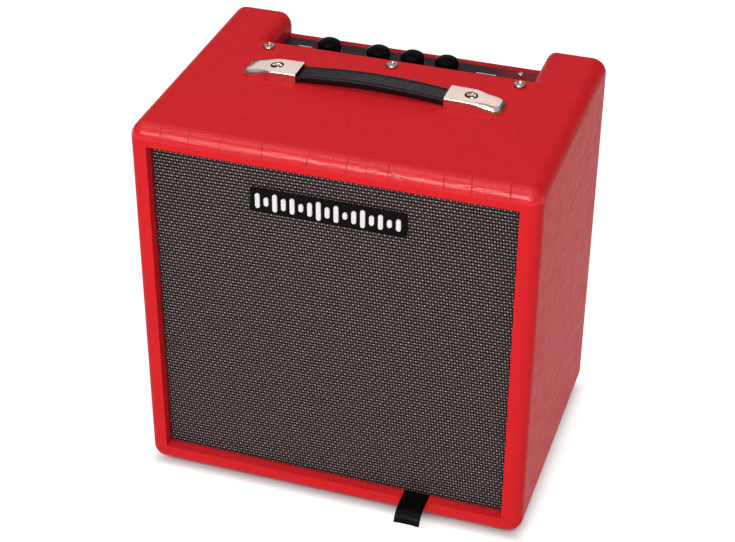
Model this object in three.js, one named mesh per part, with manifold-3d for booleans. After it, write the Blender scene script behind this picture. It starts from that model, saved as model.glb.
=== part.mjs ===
// Guitar combo amplifier: a covered, semi-open-back cabinet with one ten-inch loudspeaker, a control
// panel in a recess at the back of its top, a pull-off grille and a strap handle.
// Millimetres. +X is to the right of someone who faces the grille, +Y runs to the back, +Z is up.
// Shapes are drawn from the cabinet's front plane (y = 0) and its underside (z = 0). The whole group
// is then shifted, so that the origin is under the middle of the finished amplifier, on the floor.

import * as THREE from "three";
import { mergeVertices } from "three/addons/utils/BufferGeometryUtils.js";
import Module from "manifold-3d";

const wasm = await Module();
wasm.setup();

// ---------------------------------------------------------------- driving dimensions

const GAP = 0.3;                  // clearance left between pieces that touch

const CABINET = { width: 380, height: 380.6, depth: 265.8 };
const BOARD = { side: 18.4, top: 19.2, bottom: 20.1, baffle: 12, back: 8 };
const EDGE_RADIUS = 14.3;         // front edges and the four long edges
const BACK_EDGE_RADIUS = 3;
const FOOT = { height: 6, topRadius: 14, floorRadius: 12, insetX: 40, front: 34, back: 232 };

const RECESS = { front: 197, halfWidth: 130.5, depth: 22.4, cornerRadius: 10, lipRadius: 1.2 };
const CHEEK_DEPTH = 45;           // how far the blocks beside the recess reach down

const GRILLE = { setback: 9.1, cloth: 0.8, frame: 7.6, frameWidth: 25, clearance: 1.2, corner: 3.5 };
const BADGE = { left: -76, right: 71, bottom: 310, top: 335, thickness: 3.5, corner: 4 };
const TAB = { centre: 85.8, width: 25, thickness: 0.6, back: 16.5, height: 20.75 };

const SPEAKER = { height: 178, holeRadius: 115, segments: 28 };
const CONE = { edgeRadius: 91.7, neckRadius: 27, edgeDepth: 3, neckDepth: 44, paper: 0.8, bow: 1.15 };

const SHEET = 1.5;                // sheet steel of the control panel and the tray
const PANEL = { halfWidth: 129.9, flangeFront: 176, back: 256.9 };
const TRAY = { halfWidth: 129, front: 195.4, back: 256.6, depth: 57 };
const CONTROL_ROW = 222;          // jacks, button and lamp
const KNOB = { row: 230, radius: 11.4, base: 0.9, rim: 14, top: 18.5, segments: 20 };
const KNOB_X = [-77.9, -27.5, 7, 41.3];
const KNOB_NAMES = ["gain", "tone", "reverb", "volume"];
const SHAFT_RADIUS = 3;
const INLET = { x: -98, halfWidth: 13.5, halfHeight: 10, below: 33 };
const ROCKER = { x: -60, pivotY: 254.4, tilt: THREE.MathUtils.degToRad(8) };

const HANDLE = {
  x: -2.5, y: 135, mouth: 71, throat: 85, tip: 124.8, screw: 93.8, halfWidth: 14, height: 10.6,
};
const STRAP = { thickness: 6, halfWidth: 11.8, clear: 1.6, rise: 3.7, grip: 30, end: 77 };
const CHASSIS_SCREW = { y: 186, spacing: 124, headRadius: 6, headHeight: 3.4 };

// ---------------------------------------------------------------- derived places

const HALF_WIDTH = CABINET.width / 2;
const INNER_HALF = HALF_WIDTH - BOARD.side;
const CEILING = CABINET.height - BOARD.top;
const BAFFLE_FRONT = GRILLE.setback + GRILLE.cloth + GAP + GRILLE.frame + 2 * GAP;
const BAFFLE_BACK = BAFFLE_FRONT + BOARD.baffle;
const PANEL_TOP = CABINET.height - RECESS.depth;
const TRAY_TOP = -SHEET - GAP;    // measured from the panel's top face
const TRAY_FLOOR = TRAY_TOP - TRAY.depth + SHEET;
const BACK_PANEL_FRONT = CABINET.depth - BOARD.back - GAP;
const PAST = 5;                   // how far a cutter runs past the face that it cuts

// ---------------------------------------------------------------- surfaces

const SURFACES = {
  vinyl: [0xc0282e, 0.45, 0],
  board: [0x6b5138, 0.8, 0],
  cloth: [0x2a2224, 0.9, 0],
  ribbon: [0x0c0c0e, 0.5, 0],
  badge: [0xd8d8d4, 0.4, 0.1],
  nickel: [0xdcc8be, 0.22, 1],
  steel: [0x9a9a9c, 0.4, 0.9],
  blackSteel: [0x1c1c1f, 0.5, 0.3],
  panel: [0x41393e, 0.5, 0.2],
  rubber: [0x18181a, 0.85, 0],
  plastic: [0x141416, 0.45, 0],
  paper: [0x25221f, 0.9, 0],
  ferrite: [0x2c2c2e, 0.7, 0],
  copper: [0x9a5a2c, 0.45, 0.6],
  board_green: [0x1f4a2a, 0.6, 0],
  aluminium: [0xb4b6b8, 0.4, 0.9],
  lamp: [0xc81818, 0.2, 0],
};

function surface(name) {
  const [color, roughness, metalness] = SURFACES[name];
  return new THREE.MeshStandardMaterial({ color, roughness, metalness });
}

// ---------------------------------------------------------------- solid tools

// Merges shared corners, drops collapsed triangles and turns the faces outwards.
function closed(geometry) {
  const bare = new THREE.BufferGeometry();
  bare.setAttribute("position", geometry.getAttribute("position"));
  bare.setIndex(geometry.getIndex());
  const merged = mergeVertices(bare);
  const corners = merged.getIndex().array;
  const kept = [];
  for (let i = 0; i < corners.length; i += 3) {
    const [a, b, c] = [corners[i], corners[i + 1], corners[i + 2]];
    if (a !== b && b !== c && c !== a) kept.push(a, b, c);
  }
  if (signedVolume(merged.getAttribute("position"), kept) < 0) kept.reverse();
  merged.setIndex(kept);
  return merged;
}

function signedVolume(position, corners) {
  const [a, b, c] = [new THREE.Vector3(), new THREE.Vector3(), new THREE.Vector3()];
  let sum = 0;
  for (let i = 0; i < corners.length; i += 3) {
    a.fromBufferAttribute(position, corners[i]);
    b.fromBufferAttribute(position, corners[i + 1]);
    c.fromBufferAttribute(position, corners[i + 2]);
    sum += a.dot(b.cross(c));
  }
  return sum / 6;
}

function toManifold(geometry) {
  const vertProperties = Float32Array.from(geometry.getAttribute("position").array);
  const triVerts = Uint32Array.from(geometry.getIndex().array);
  return new wasm.Manifold(new wasm.Mesh({ numProp: 3, vertProperties, triVerts }));
}

function fromManifold(solid) {
  const mesh = solid.getMesh();
  const geometry = new THREE.BufferGeometry();
  geometry.setAttribute("position", new THREE.BufferAttribute(mesh.vertProperties, 3));
  geometry.setIndex(new THREE.BufferAttribute(mesh.triVerts, 1));
  return closed(geometry);
}

function cut(base, ...tools) {
  return fromManifold(tools.reduce((solid, tool) => solid.subtract(toManifold(tool)), toManifold(base)));
}

function join(first, ...others) {
  return fromManifold(others.reduce((solid, other) => solid.add(toManifold(other)), toManifold(first)));
}

function common(first, second) {
  return fromManifold(toManifold(first).intersect(toManifold(second)));
}

function box(x0, x1, y0, y1, z0, z1) {
  const geometry = new THREE.BoxGeometry(x1 - x0, y1 - y0, z1 - z0);
  geometry.translate((x0 + x1) / 2, (y0 + y1) / 2, (z0 + z1) / 2);
  return closed(geometry);
}

function moved(geometry, x, y, z) {
  return geometry.clone().translate(x, y, z);
}

// Turns an extrusion along Z into one along the named axis. Its outline is then (y, z) for x,
// (x, z) for y and (x, y) for z.
const EXTRUDE_ALONG = {
  x: new THREE.Matrix4().set(0, 0, 1, 0, 1, 0, 0, 0, 0, 1, 0, 0, 0, 0, 0, 1),
  y: new THREE.Matrix4().set(1, 0, 0, 0, 0, 0, 1, 0, 0, 1, 0, 0, 0, 0, 0, 1),
  z: new THREE.Matrix4(),
};

function prism(outline, axis, from, to) {
  const shape = new THREE.Shape(outline.map(([u, v]) => new THREE.Vector2(u, v)));
  const geometry = new THREE.ExtrudeGeometry(shape, { depth: to - from, bevelEnabled: false });
  geometry.translate(0, 0, from);
  geometry.applyMatrix4(EXTRUDE_ALONG[axis]);
  return closed(geometry);
}

// A solid of revolution about Z: the profile is [radius, z] points.
function turned(profile, segments) {
  const points = profile.map(([radius, height]) => new THREE.Vector2(radius, height));
  const geometry = new THREE.LatheGeometry(points, segments);
  geometry.rotateX(Math.PI / 2);
  return closed(geometry);
}

// The same about Y, with the profile's second number running to the back.
function turnedBackwards(profile, segments) {
  const points = profile.map(([radius, depth]) => new THREE.Vector2(radius, depth));
  return closed(new THREE.LatheGeometry(points, segments));
}

function rod(radius, z0, z1, segments = 16) {
  return turned([[0, z0], [radius, z0], [radius, z1], [0, z1]], segments);
}

function ring(inner, outer, from, to) {
  return [[inner, from], [outer, from], [outer, to], [inner, to], [inner, from]];
}

// The points of an arc about (cx, cy), from one angle to another in degrees.
function arc(cx, cy, radius, fromDeg, toDeg, steps) {
  const points = [];
  for (let i = 0; i <= steps; i += 1) {
    const angle = THREE.MathUtils.degToRad(fromDeg + ((toDeg - fromDeg) * i) / steps);
    points.push([cx + radius * Math.cos(angle), cy + radius * Math.sin(angle)]);
  }
  return points;
}

function roundedRectangle(u0, u1, v0, v1, radius, steps) {
  return [
    ...arc(u1 - radius, v1 - radius, radius, 0, 90, steps),
    ...arc(u0 + radius, v1 - radius, radius, 90, 180, steps),
    ...arc(u0 + radius, v0 + radius, radius, 180, 270, steps),
    ...arc(u1 - radius, v0 + radius, radius, 270, 360, steps),
  ];
}

// Skins a stack of convex rings that all have the same number of points, and closes both ends.
function skinned(rings) {
  const count = rings[0].length;
  const corners = [];
  for (let level = 0; level + 1 < rings.length; level += 1) {
    for (let i = 0; i < count; i += 1) {
      const next = (i + 1) % count;
      const [a, b] = [level * count + i, level * count + next];
      const [c, d] = [a + count, b + count];
      corners.push(a, b, d, a, d, c);
    }
  }
  const last = (rings.length - 1) * count;
  for (let i = 1; i + 1 < count; i += 1) {
    corners.push(0, i + 1, i);
    corners.push(last, last + i, last + i + 1);
  }
  const geometry = new THREE.BufferGeometry();
  geometry.setAttribute("position", new THREE.Float32BufferAttribute(rings.flat(2), 3));
  geometry.setIndex(corners);
  return closed(geometry);
}

// ---------------------------------------------------------------- cabinet

// The cabinet's outer form: rings of rounded rectangles from the front face to the back.
function cabinetEnvelope() {
  const steps = 6;
  const levels = [];
  for (const [run, rise] of arc(0, 0, EDGE_RADIUS, 90, 0, steps)) {
    levels.push({ y: EDGE_RADIUS - rise, inset: EDGE_RADIUS - run });
  }
  for (const [run, rise] of arc(0, 0, BACK_EDGE_RADIUS, 0, 90, 2)) {
    levels.push({ y: CABINET.depth - BACK_EDGE_RADIUS + rise, inset: BACK_EDGE_RADIUS - run });
  }
  return skinned(levels.map(({ y, inset }) => {
    const radius = Math.max(EDGE_RADIUS - inset, 0.05);
    const [left, right] = [inset - HALF_WIDTH, HALF_WIDTH - inset];
    const outline = roundedRectangle(left, right, inset, CABINET.height - inset, radius, steps);
    return outline.map(([x, z]) => [x, y, z]);
  }));
}

// What the control recess takes out of the top: a pocket that is open at the back, with a rounded
// rim that is wide beside the horns and fine along the front.
function recessCutter() {
  const levels = [{ z: PANEL_TOP - CHEEK_DEPTH, side: 0, front: 0 }];
  for (const [run, rise] of arc(0, 0, EDGE_RADIUS, 0, 90, 6)) {
    const z = CABINET.height - EDGE_RADIUS + rise;
    const overLip = Math.max(z - (CABINET.height - RECESS.lipRadius), 0);
    const lipRun = RECESS.lipRadius - Math.sqrt(RECESS.lipRadius ** 2 - overLip ** 2);
    levels.push({ z, side: EDGE_RADIUS - run, front: lipRun });
  }
  levels.push({ ...levels.at(-1), z: CABINET.height + PAST });
  return skinned(levels.map(({ z, side, front }) => {
    const half = RECESS.halfWidth + side;
    const y = RECESS.front - front;
    const radius = RECESS.cornerRadius;
    const outline = [
      [half, CABINET.depth + PAST],
      [-half, CABINET.depth + PAST],
      ...arc(radius - half, y + radius, radius, 180, 270, 5),
      ...arc(half - radius, y + radius, radius, 270, 360, 5),
    ];
    return outline.map(([x, depth]) => [x, depth, z]);
  }));
}

function sidePanel(envelope, side) {
  const [inner, outer] = [side * INNER_HALF, side * (HALF_WIDTH + PAST)];
  const slab = box(Math.min(inner, outer), Math.max(inner, outer), -PAST, CABINET.depth + PAST,
    -PAST, CABINET.height + PAST);
  return common(envelope, slab);
}

function topPanel(envelope) {
  const half = INNER_HALF - GAP;
  const slab = box(-half, half, -PAST, CABINET.depth + PAST, CEILING, CABINET.height + PAST);
  const cheekSpan = [RECESS.front - RECESS.cornerRadius, CABINET.depth,
    CABINET.height - CHEEK_DEPTH, CEILING + 1];
  const cheekInner = RECESS.halfWidth - 0.1;
  const leftCheek = box(-half, -cheekInner, ...cheekSpan);
  const rightCheek = box(cheekInner, half, ...cheekSpan);
  const holes = [];
  for (const side of [-1, 0, 1]) {
    const hole = rod(2.4, CEILING - PAST, CABINET.height + PAST, 12);
    holes.push(moved(hole, side * CHASSIS_SCREW.spacing, CHASSIS_SCREW.y, 0));
  }
  for (const side of [-1, 1]) {
    const hole = rod(2.6, CEILING - PAST, CABINET.height + PAST, 12);
    holes.push(moved(hole, HANDLE.x + side * HANDLE.screw, HANDLE.y, 0));
  }
  return cut(join(common(envelope, slab), leftCheek, rightCheek), recessCutter(), ...holes);
}

function bottomPanel(envelope) {
  const half = INNER_HALF - GAP;
  return common(envelope, box(-half, half, -PAST, CABINET.depth + PAST, -PAST, BOARD.bottom));
}

function frontBaffle() {
  const half = INNER_HALF - GAP;
  const board = box(-half, half, BAFFLE_FRONT, BAFFLE_BACK, BOARD.bottom + GAP, CEILING - GAP);
  const hole = turnedBackwards([[0, -PAST], [SPEAKER.holeRadius, -PAST],
    [SPEAKER.holeRadius, BOARD.baffle + PAST], [0, BOARD.baffle + PAST]], 40);
  return cut(board, moved(hole, 0, BAFFLE_FRONT, SPEAKER.height));
}

function lowerBackPanel() {
  const half = INNER_HALF - GAP;
  const outline = roundedRectangle(-half, half, BOARD.bottom + GAP, 150, 2, 1);
  return prism(outline, "y", BACK_PANEL_FRONT, CABINET.depth - GAP);
}

// The upper board fits between the cheeks at its top, and has a window for the mains sockets.
function upperBackPanel() {
  const wide = INNER_HALF - GAP;
  const narrow = RECESS.halfWidth - GAP;
  const shoulder = CABINET.height - CHEEK_DEPTH - GAP;
  const outline = [
    [-wide, 215], [wide, 215], [wide, shoulder], [narrow, shoulder],
    [narrow, PANEL_TOP - 0.5], [-narrow, PANEL_TOP - 0.5], [-narrow, shoulder], [-wide, shoulder],
  ];
  const middle = PANEL_TOP - INLET.below;
  const window = roundedRectangle(INLET.x - 22, ROCKER.x + 18, middle - 17, middle + 17, 4, 3);
  return cut(prism(outline, "y", BACK_PANEL_FRONT, CABINET.depth - GAP),
    prism(window, "y", BACK_PANEL_FRONT - PAST, CABINET.depth + PAST));
}

function foot() {
  const top = -GAP;
  return turned([[0, -FOOT.height], [FOOT.floorRadius, -FOOT.height],
    [FOOT.topRadius, top - 1], [FOOT.topRadius, top], [0, top]], 20);
}

// A domed screw that stands on z = 0, with a cross recess and a plain shank.
function crossScrew(headRadius, headHeight, shankRadius, shankLength) {
  const rim = 0.6;
  const dome = [];
  for (const along of [0, 0.4, 0.75]) {
    dome.push([headRadius * (1 - along ** 2), rim + (headHeight - rim) * Math.sqrt(along)]);
  }
  dome.push([0, headHeight]);
  const profile = [[0, -shankLength], [shankRadius, -shankLength], [shankRadius, GAP],
    [headRadius, GAP], ...dome];
  const [reach, slot] = [headRadius * 0.5, headRadius * 0.1];
  const depth = headHeight * 0.5;
  return cut(turned(profile, 14),
    box(-reach, reach, -slot, slot, headHeight - depth, headHeight + 1),
    box(-slot, slot, -reach, reach, headHeight - depth, headHeight + 1));
}

// ---------------------------------------------------------------- grille

function grilleOutline() {
  const half = INNER_HALF - GRILLE.clearance;
  return roundedRectangle(-half, half, BOARD.bottom + GRILLE.clearance,
    CEILING - GRILLE.clearance, GRILLE.corner, 3);
}

function grilleCloth() {
  return prism(grilleOutline(), "y", GRILLE.setback, GRILLE.setback + GRILLE.cloth);
}

function grilleFrame() {
  const front = GRILLE.setback + GRILLE.cloth + GAP;
  const half = INNER_HALF - GRILLE.clearance - GRILLE.frameWidth;
  const margin = GRILLE.clearance + GRILLE.frameWidth;
  const middle = roundedRectangle(-half, half, BOARD.bottom + margin, CEILING - margin, 6, 2);
  return cut(prism(grilleOutline(), "y", front, front + GRILLE.frame),
    prism(middle, "y", front - PAST, front + GRILLE.frame + PAST));
}

function badge() {
  const outline = roundedRectangle(BADGE.left, BADGE.right, BADGE.bottom, BADGE.top, BADGE.corner, 3);
  const back = GRILLE.setback - GAP;
  return prism(outline, "y", back - BADGE.thickness, back);
}

// The ribbon leaves the foot of the grille, crosses the bottom lip and curls down in front of it.
function pullTab() {
  const route = new THREE.CatmullRomCurve3([
    new THREE.Vector3(0, TAB.back, TAB.height),
    new THREE.Vector3(0, 4, TAB.height),
    new THREE.Vector3(0, -8, 20.6),
    new THREE.Vector3(0, -16.5, 19.2),
    new THREE.Vector3(0, -23, 15.6),
    new THREE.Vector3(0, -26.5, 10),
  ]);
  const [upper, lower] = [[], []];
  const steps = 12;
  for (let i = 0; i <= steps; i += 1) {
    const point = route.getPoint(i / steps);
    const along = route.getTangent(i / steps);
    const [offsetY, offsetZ] = [along.z * TAB.thickness / 2, -along.y * TAB.thickness / 2];
    upper.push([point.y + offsetY, point.z + offsetZ]);
    lower.unshift([point.y - offsetY, point.z - offsetZ]);
  }
  return prism([...upper, ...lower], "x", TAB.centre - TAB.width / 2, TAB.centre + TAB.width / 2);
}

// ---------------------------------------------------------------- loudspeaker
// Depths are measured backwards from the rear face of the baffle.

function coneDepth(radius) {
  const along = (CONE.edgeRadius - radius) / (CONE.edgeRadius - CONE.neckRadius);
  return CONE.edgeDepth + (CONE.neckDepth - CONE.edgeDepth) * along ** CONE.bow;
}

function coneBody() {
  const [front, back] = [[], []];
  const steps = 3;
  for (let i = 0; i <= steps; i += 1) {
    const radius = CONE.edgeRadius + ((CONE.neckRadius - CONE.edgeRadius) * i) / steps;
    front.push([radius, coneDepth(radius) - CONE.paper / 2]);
    back.unshift([radius, coneDepth(radius) + CONE.paper / 2]);
  }
  return turnedBackwards([...front, ...back, front[0]], SPEAKER.segments);
}

function dustCap() {
  const rim = 32;
  const base = coneDepth(rim) - CONE.paper / 2 - GAP;
  const [front, back] = [[], []];
  const steps = 3;
  for (let i = 0; i <= steps; i += 1) {
    const radius = (rim * i) / steps;
    const bulge = 10 * (1 - (radius / rim) ** 2);
    front.push([radius, base - 0.8 - bulge]);
    back.unshift([radius, base - bulge]);
  }
  return turnedBackwards([...front, ...back], SPEAKER.segments);
}

function surround() {
  const inner = CONE.edgeRadius + 0.6;
  const roll = (radius, steps) => arc(102, 2.8, radius, 180, 360, steps);
  const front = roll(9.7, 4);
  const back = roll(9.1, 4).reverse();
  const profile = [[inner, 3.2], ...front.slice(1), [129, 2.5], [129, 3], ...back.slice(0, -1),
    [inner + 0.8, 3.2], [inner, 3.2]];
  return turnedBackwards(profile, SPEAKER.segments);
}

function basket() {
  const shell = turnedBackwards([
    [110.8, 3.3], [129.5, 3.3], [129.5, 4.9], [112.6, 4.9], [111.2, 9], [67, 60.5], [63, 63.6],
    [28, 63.6], [28, 62.1], [62.4, 62.1], [65.6, 59.6], [109.7, 8.4], [110.8, 3.3],
  ], 32);
  const windows = [];
  const [count, halfAngle] = [8, 15];
  for (let i = 0; i < count; i += 1) {
    const middle = (i * 360) / count + 22.5;
    const outline = [...arc(0, 0, 50, middle - halfAngle, middle + halfAngle, 1),
      ...arc(0, 0, 130, middle + halfAngle, middle - halfAngle, 1)];
    windows.push(prism(outline, "y", 14, 56));
  }
  return cut(shell, ...windows);
}

function spider() {
  const [front, back] = [[], []];
  const steps = 4;
  for (let i = 0; i <= steps; i += 1) {
    const radius = 26 + i * 10;
    const wave = i % 2 === 0 ? 0 : 1.4;
    front.push([radius, 56.6 + wave]);
    back.unshift([radius, 57.3 + wave]);
  }
  return turnedBackwards([...front, ...back, front[0]], SPEAKER.segments);
}

function backPlate() {
  return turnedBackwards([[0, 64], [23.6, 64], [23.6, 86.5], [58, 86.5], [58, 92.5], [0, 92.5]],
    SPEAKER.segments);
}

function speakerTerminal() {
  const strip = box(-88.5, -86.9, 38, 50, -9, 9);
  return join(strip, box(-94, -88, 46, 46.8, -7, -3), box(-94, -88, 46, 46.8, 3, 7));
}

// ---------------------------------------------------------------- chassis
// Heights are measured from the top face of the control panel, unless a name says otherwise.

function controlPanel() {
  const lift = CEILING - GAP - PANEL_TOP;
  const riser = RECESS.front - GAP;
  const sheet = prism([
    [PANEL.flangeFront, lift], [riser, lift], [riser, 0], [PANEL.back, 0], [PANEL.back, -SHEET],
    [riser - SHEET, -SHEET], [riser - SHEET, lift - SHEET], [PANEL.flangeFront, lift - SHEET],
  ], "x", -PANEL.halfWidth, PANEL.halfWidth);
  const hole = (x, y, radius) => moved(rod(radius, -PAST, PAST * 3), x, y, 0);
  return cut(sheet,
    ...KNOB_X.map((x) => hole(x, KNOB.row, 4.8)),
    ...[-1, 0, 1].map((side) => hole(side * CHASSIS_SCREW.spacing, CHASSIS_SCREW.y, 2.4)),
    hole(-112, CONTROL_ROW, 5), hole(-50, CONTROL_ROW, 4.4), hole(78, CONTROL_ROW, 3.6),
    hole(100, CONTROL_ROW, 2.8), hole(110, 250, 1.8));
}

function chassisTray() {
  const bottom = TRAY_TOP - TRAY.depth;
  const shell = cut(
    box(-TRAY.halfWidth, TRAY.halfWidth, TRAY.front, TRAY.back, bottom, TRAY_TOP),
    box(SHEET - TRAY.halfWidth, TRAY.halfWidth - SHEET, TRAY.front + SHEET, TRAY.back - SHEET,
      bottom + SHEET, TRAY_TOP + PAST));
  const wall = [TRAY.back - SHEET - PAST, TRAY.back + PAST];
  const inletHole = box(INLET.x - 13.9, INLET.x + 13.9, ...wall, -INLET.below - 10.4,
    -INLET.below + 10.4);
  const switchHole = box(ROCKER.x - 6.8, ROCKER.x + 6.8, ...wall, -INLET.below - 9.8,
    -INLET.below + 9.8);
  return cut(shell, inletHole, switchHole);
}

function potentiometer() {
  const body = box(-8, 8, -10, 8, -11.5, TRAY_TOP);
  const bush = rod(4.3, TRAY_TOP - 1, 4.2);
  return cut(join(body, bush), rod(SHAFT_RADIUS + GAP, -9.5, PAST * 2));
}

// A knob and the shaft that it is pressed onto. The skirt is hollow, over the bush and its nut.
function knob() {
  const dome = [];
  const steps = 4;
  for (let i = 0; i <= steps; i += 1) {
    const radius = (KNOB.radius - 0.5) * (1 - i / steps);
    const fall = (radius / KNOB.radius) ** 2;
    dome.push([radius, KNOB.top - (KNOB.top - KNOB.rim) * fall]);
  }
  return turned([[0, -8.5], [SHAFT_RADIUS, -8.5], [SHAFT_RADIUS, 7], [9.6, 7], [9.6, KNOB.base],
    [KNOB.radius, KNOB.base], [KNOB.radius, KNOB.rim - 0.5], ...dome], KNOB.segments);
}

function inputJack() {
  const body = box(-8, 8, -8, 8, -27.5, TRAY_TOP);
  const bush = rod(4.6, TRAY_TOP - 1, 4);
  const nut = rod(7.4, GAP, 2.6, 6);
  return cut(join(body, bush, nut), rod(3.25, -26, PAST * 2, 24));
}

function phonesJack() {
  const body = box(-6, 6, -6, 6, -12.5, TRAY_TOP);
  const bush = rod(3.2, TRAY_TOP - 1, 2.6, 16);
  const nut = rod(4.6, GAP, 1.8, 12);
  return cut(join(body, bush, nut), rod(1.8, -11, PAST * 2, 12));
}

function buttonSwitch() {
  return cut(box(-6, 6, -6, 6, -11.5, TRAY_TOP), rod(4.3, -10.5, PAST));
}

function powerLamp() {
  return turned([[0, -6], [2.4, -6], [2.4, 1.2], [2, 2.2], [1.1, 2.8], [0, 3]], 14);
}

function transformerCore() {
  const block = box(-25, 25, -11, 11, TRAY_FLOOR + GAP, TRAY_FLOOR + GAP + 40);
  const opening = (x) => box(x, x + 9, -11 - PAST, 11 + PAST, TRAY_FLOOR + 8.3, TRAY_FLOOR + 32.3);
  return cut(block, opening(-17.5), opening(8.5));
}

function transformerCoil() {
  const bottom = TRAY_FLOOR + 8.3 + GAP;
  const height = 24 - 2 * GAP;
  return cut(box(-17.2, 17.2, -19, 19, bottom, bottom + height),
    box(-8.8, 8.8, -11.3, 11.3, bottom - PAST, bottom + height + PAST));
}

function heatsink() {
  const [width, base, height, fins, fin] = [50, 4, 30, 7, 2];
  const plate = box(-width / 2, width / 2, -20, 20, 0, base);
  const blades = [];
  for (let i = 0; i < fins; i += 1) {
    const left = -width / 2 + (i * (width - fin)) / (fins - 1);
    blades.push(box(left, left + fin, -20, 20, base - 1, height));
  }
  return moved(join(plate, ...blades), 0, 0, TRAY_FLOOR + GAP);
}

function mainsInlet() {
  const middle = -INLET.below;
  const { x, halfWidth, halfHeight } = INLET;
  const face = TRAY.back + GAP;
  const body = box(x - halfWidth, x + halfWidth, 234, face + 0.5, middle - halfHeight, middle + halfHeight);
  const flange = box(x - 15, x + 15, face, face + 1.8, middle - 12, middle + 12);
  const socket = box(x - 11, x + 11, 241, face + PAST, middle - 7, middle + 7);
  const pin = (offset, lift) => box(x + offset - 1, x + offset + 1, 239, 252.8,
    middle + lift - 2, middle + lift + 2);
  return join(cut(join(body, flange), socket), pin(-7, -1.5), pin(0, 2), pin(7, -1.5));
}

function switchHousing() {
  const middle = -INLET.below;
  const face = TRAY.back + GAP;
  const body = box(ROCKER.x - 6.4, ROCKER.x + 6.4, 242, face + 0.5, middle - 9.4, middle + 9.4);
  const flange = box(ROCKER.x - 7.5, ROCKER.x + 7.5, face, face + 1.8, middle - 10.5, middle + 10.5);
  const well = box(ROCKER.x - 5.3, ROCKER.x + 5.3, 252, face + PAST, middle - 8.2, middle + 8.2);
  return cut(join(body, flange), well);
}

// The rocker turns about X, and is drawn about its own pivot.
function switchRocker() {
  const outline = [[-0.5, -7.4], [-0.5, 7.4], [4.2, 7.4], [2.8, 0], [4.2, -7.4]];
  return prism(outline, "x", -5, 5).rotateX(-ROCKER.tilt);
}

// ---------------------------------------------------------------- handle
// Heights are measured from the cabinet's top, and distances along X from the handle's middle.

function capSection(x, half, height, radius) {
  const outline = [
    ...arc(half - radius, height - radius, radius, 0, 90, 3),
    ...arc(radius - half, height - radius, radius, 90, 180, 3),
    [-half, GAP],
    [half, GAP],
  ];
  return outline.map(([y, z]) => [x, y, z]);
}

function handleCap() {
  const { mouth, tip, halfWidth, height } = HANDLE;
  const body = skinned([
    capSection(mouth, halfWidth - 0.4, height - 0.4, 1.6),
    capSection(mouth + 0.6, halfWidth, height, 2),
    capSection(97, halfWidth, height - 0.7, 2),
    capSection(104, halfWidth - 0.5, height - 1.6, 2.8),
    capSection(tip - 10.8, halfWidth - 0.6, 7.4, 3.6),
    capSection(tip - 5.8, halfWidth - 2.6, 6.1, 3.4),
    capSection(tip - 2.3, halfWidth - 5.6, 4.8, 2.6),
    capSection(tip, 3, 2.6, 1.2),
  ]);
  const throat = box(mouth - PAST, HANDLE.throat, -STRAP.halfWidth - GAP, STRAP.halfWidth + GAP,
    -PAST, height - 1.3);
  const well = moved(rod(5.5, 4.2, height + PAST), HANDLE.screw, 0, 0);
  const hole = moved(rod(2.6, -PAST, height, 12), HANDLE.screw, 0, 0);
  return cut(body, throat, well, hole);
}

function strapHeight(x) {
  const along = Math.min(Math.abs(x) / HANDLE.mouth, 1);
  return STRAP.clear + STRAP.thickness / 2 + STRAP.rise * (1 - along ** 2);
}

// A length of strap between two places along X. Its first end is cut back at the bottom by
// "undercut", so that it can bend down there.
function strapPiece(from, to, undercut) {
  const steps = 6;
  const [upper, lower] = [[], []];
  for (let i = 0; i <= steps; i += 1) {
    const x = from + ((to - from) * i) / steps;
    const low = i === 0 ? x + undercut : x;
    upper.push([x, strapHeight(x) + STRAP.thickness / 2]);
    lower.unshift([low, strapHeight(low) - STRAP.thickness / 2]);
  }
  return prism([...upper, ...lower], "y", -STRAP.halfWidth, STRAP.halfWidth);
}

// ---------------------------------------------------------------- assembly

const amplifier = new THREE.Group();

function group(parent, x, y, z) {
  const inner = new THREE.Group();
  inner.position.set(x, y, z);
  parent.add(inner);
  return inner;
}

function add(parent, name, geometry, surfaceName, x = 0, y = 0, z = 0) {
  const mesh = new THREE.Mesh(geometry, surface(surfaceName));
  mesh.name = name;
  mesh.position.set(x, y, z);
  parent.add(mesh);
  return mesh;
}

function addCabinet(parent) {
  const envelope = cabinetEnvelope();
  add(parent, "side_panel_left", sidePanel(envelope, -1), "vinyl");
  add(parent, "side_panel_right", sidePanel(envelope, 1), "vinyl");
  add(parent, "top_panel", topPanel(envelope), "vinyl");
  add(parent, "bottom_panel", bottomPanel(envelope), "vinyl");
  add(parent, "front_baffle", frontBaffle(), "board");
  add(parent, "lower_back_panel", lowerBackPanel(), "vinyl");
  add(parent, "upper_back_panel", upperBackPanel(), "vinyl");
  for (const [end, y] of [["front", FOOT.front], ["rear", FOOT.back]]) {
    for (const [side, sign] of [["left", -1], ["right", 1]]) {
      add(parent, `foot_${end}_${side}`, foot(), "rubber", sign * (HALF_WIDTH - FOOT.insetX), y, 0);
    }
  }
  for (const [side, sign] of [["left", -1], ["centre", 0], ["right", 1]]) {
    const screw = crossScrew(CHASSIS_SCREW.headRadius, CHASSIS_SCREW.headHeight, 2, 24);
    add(parent, `chassis_screw_${side}`, screw, "nickel",
      sign * CHASSIS_SCREW.spacing, CHASSIS_SCREW.y, CABINET.height);
  }
}

function addGrille(parent) {
  add(parent, "grille_frame", grilleFrame(), "board");
  add(parent, "grille_cloth", grilleCloth(), "cloth");
  add(parent, "badge_plate", badge(), "badge");
  add(parent, "pull_tab", pullTab(), "ribbon");
}

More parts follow.
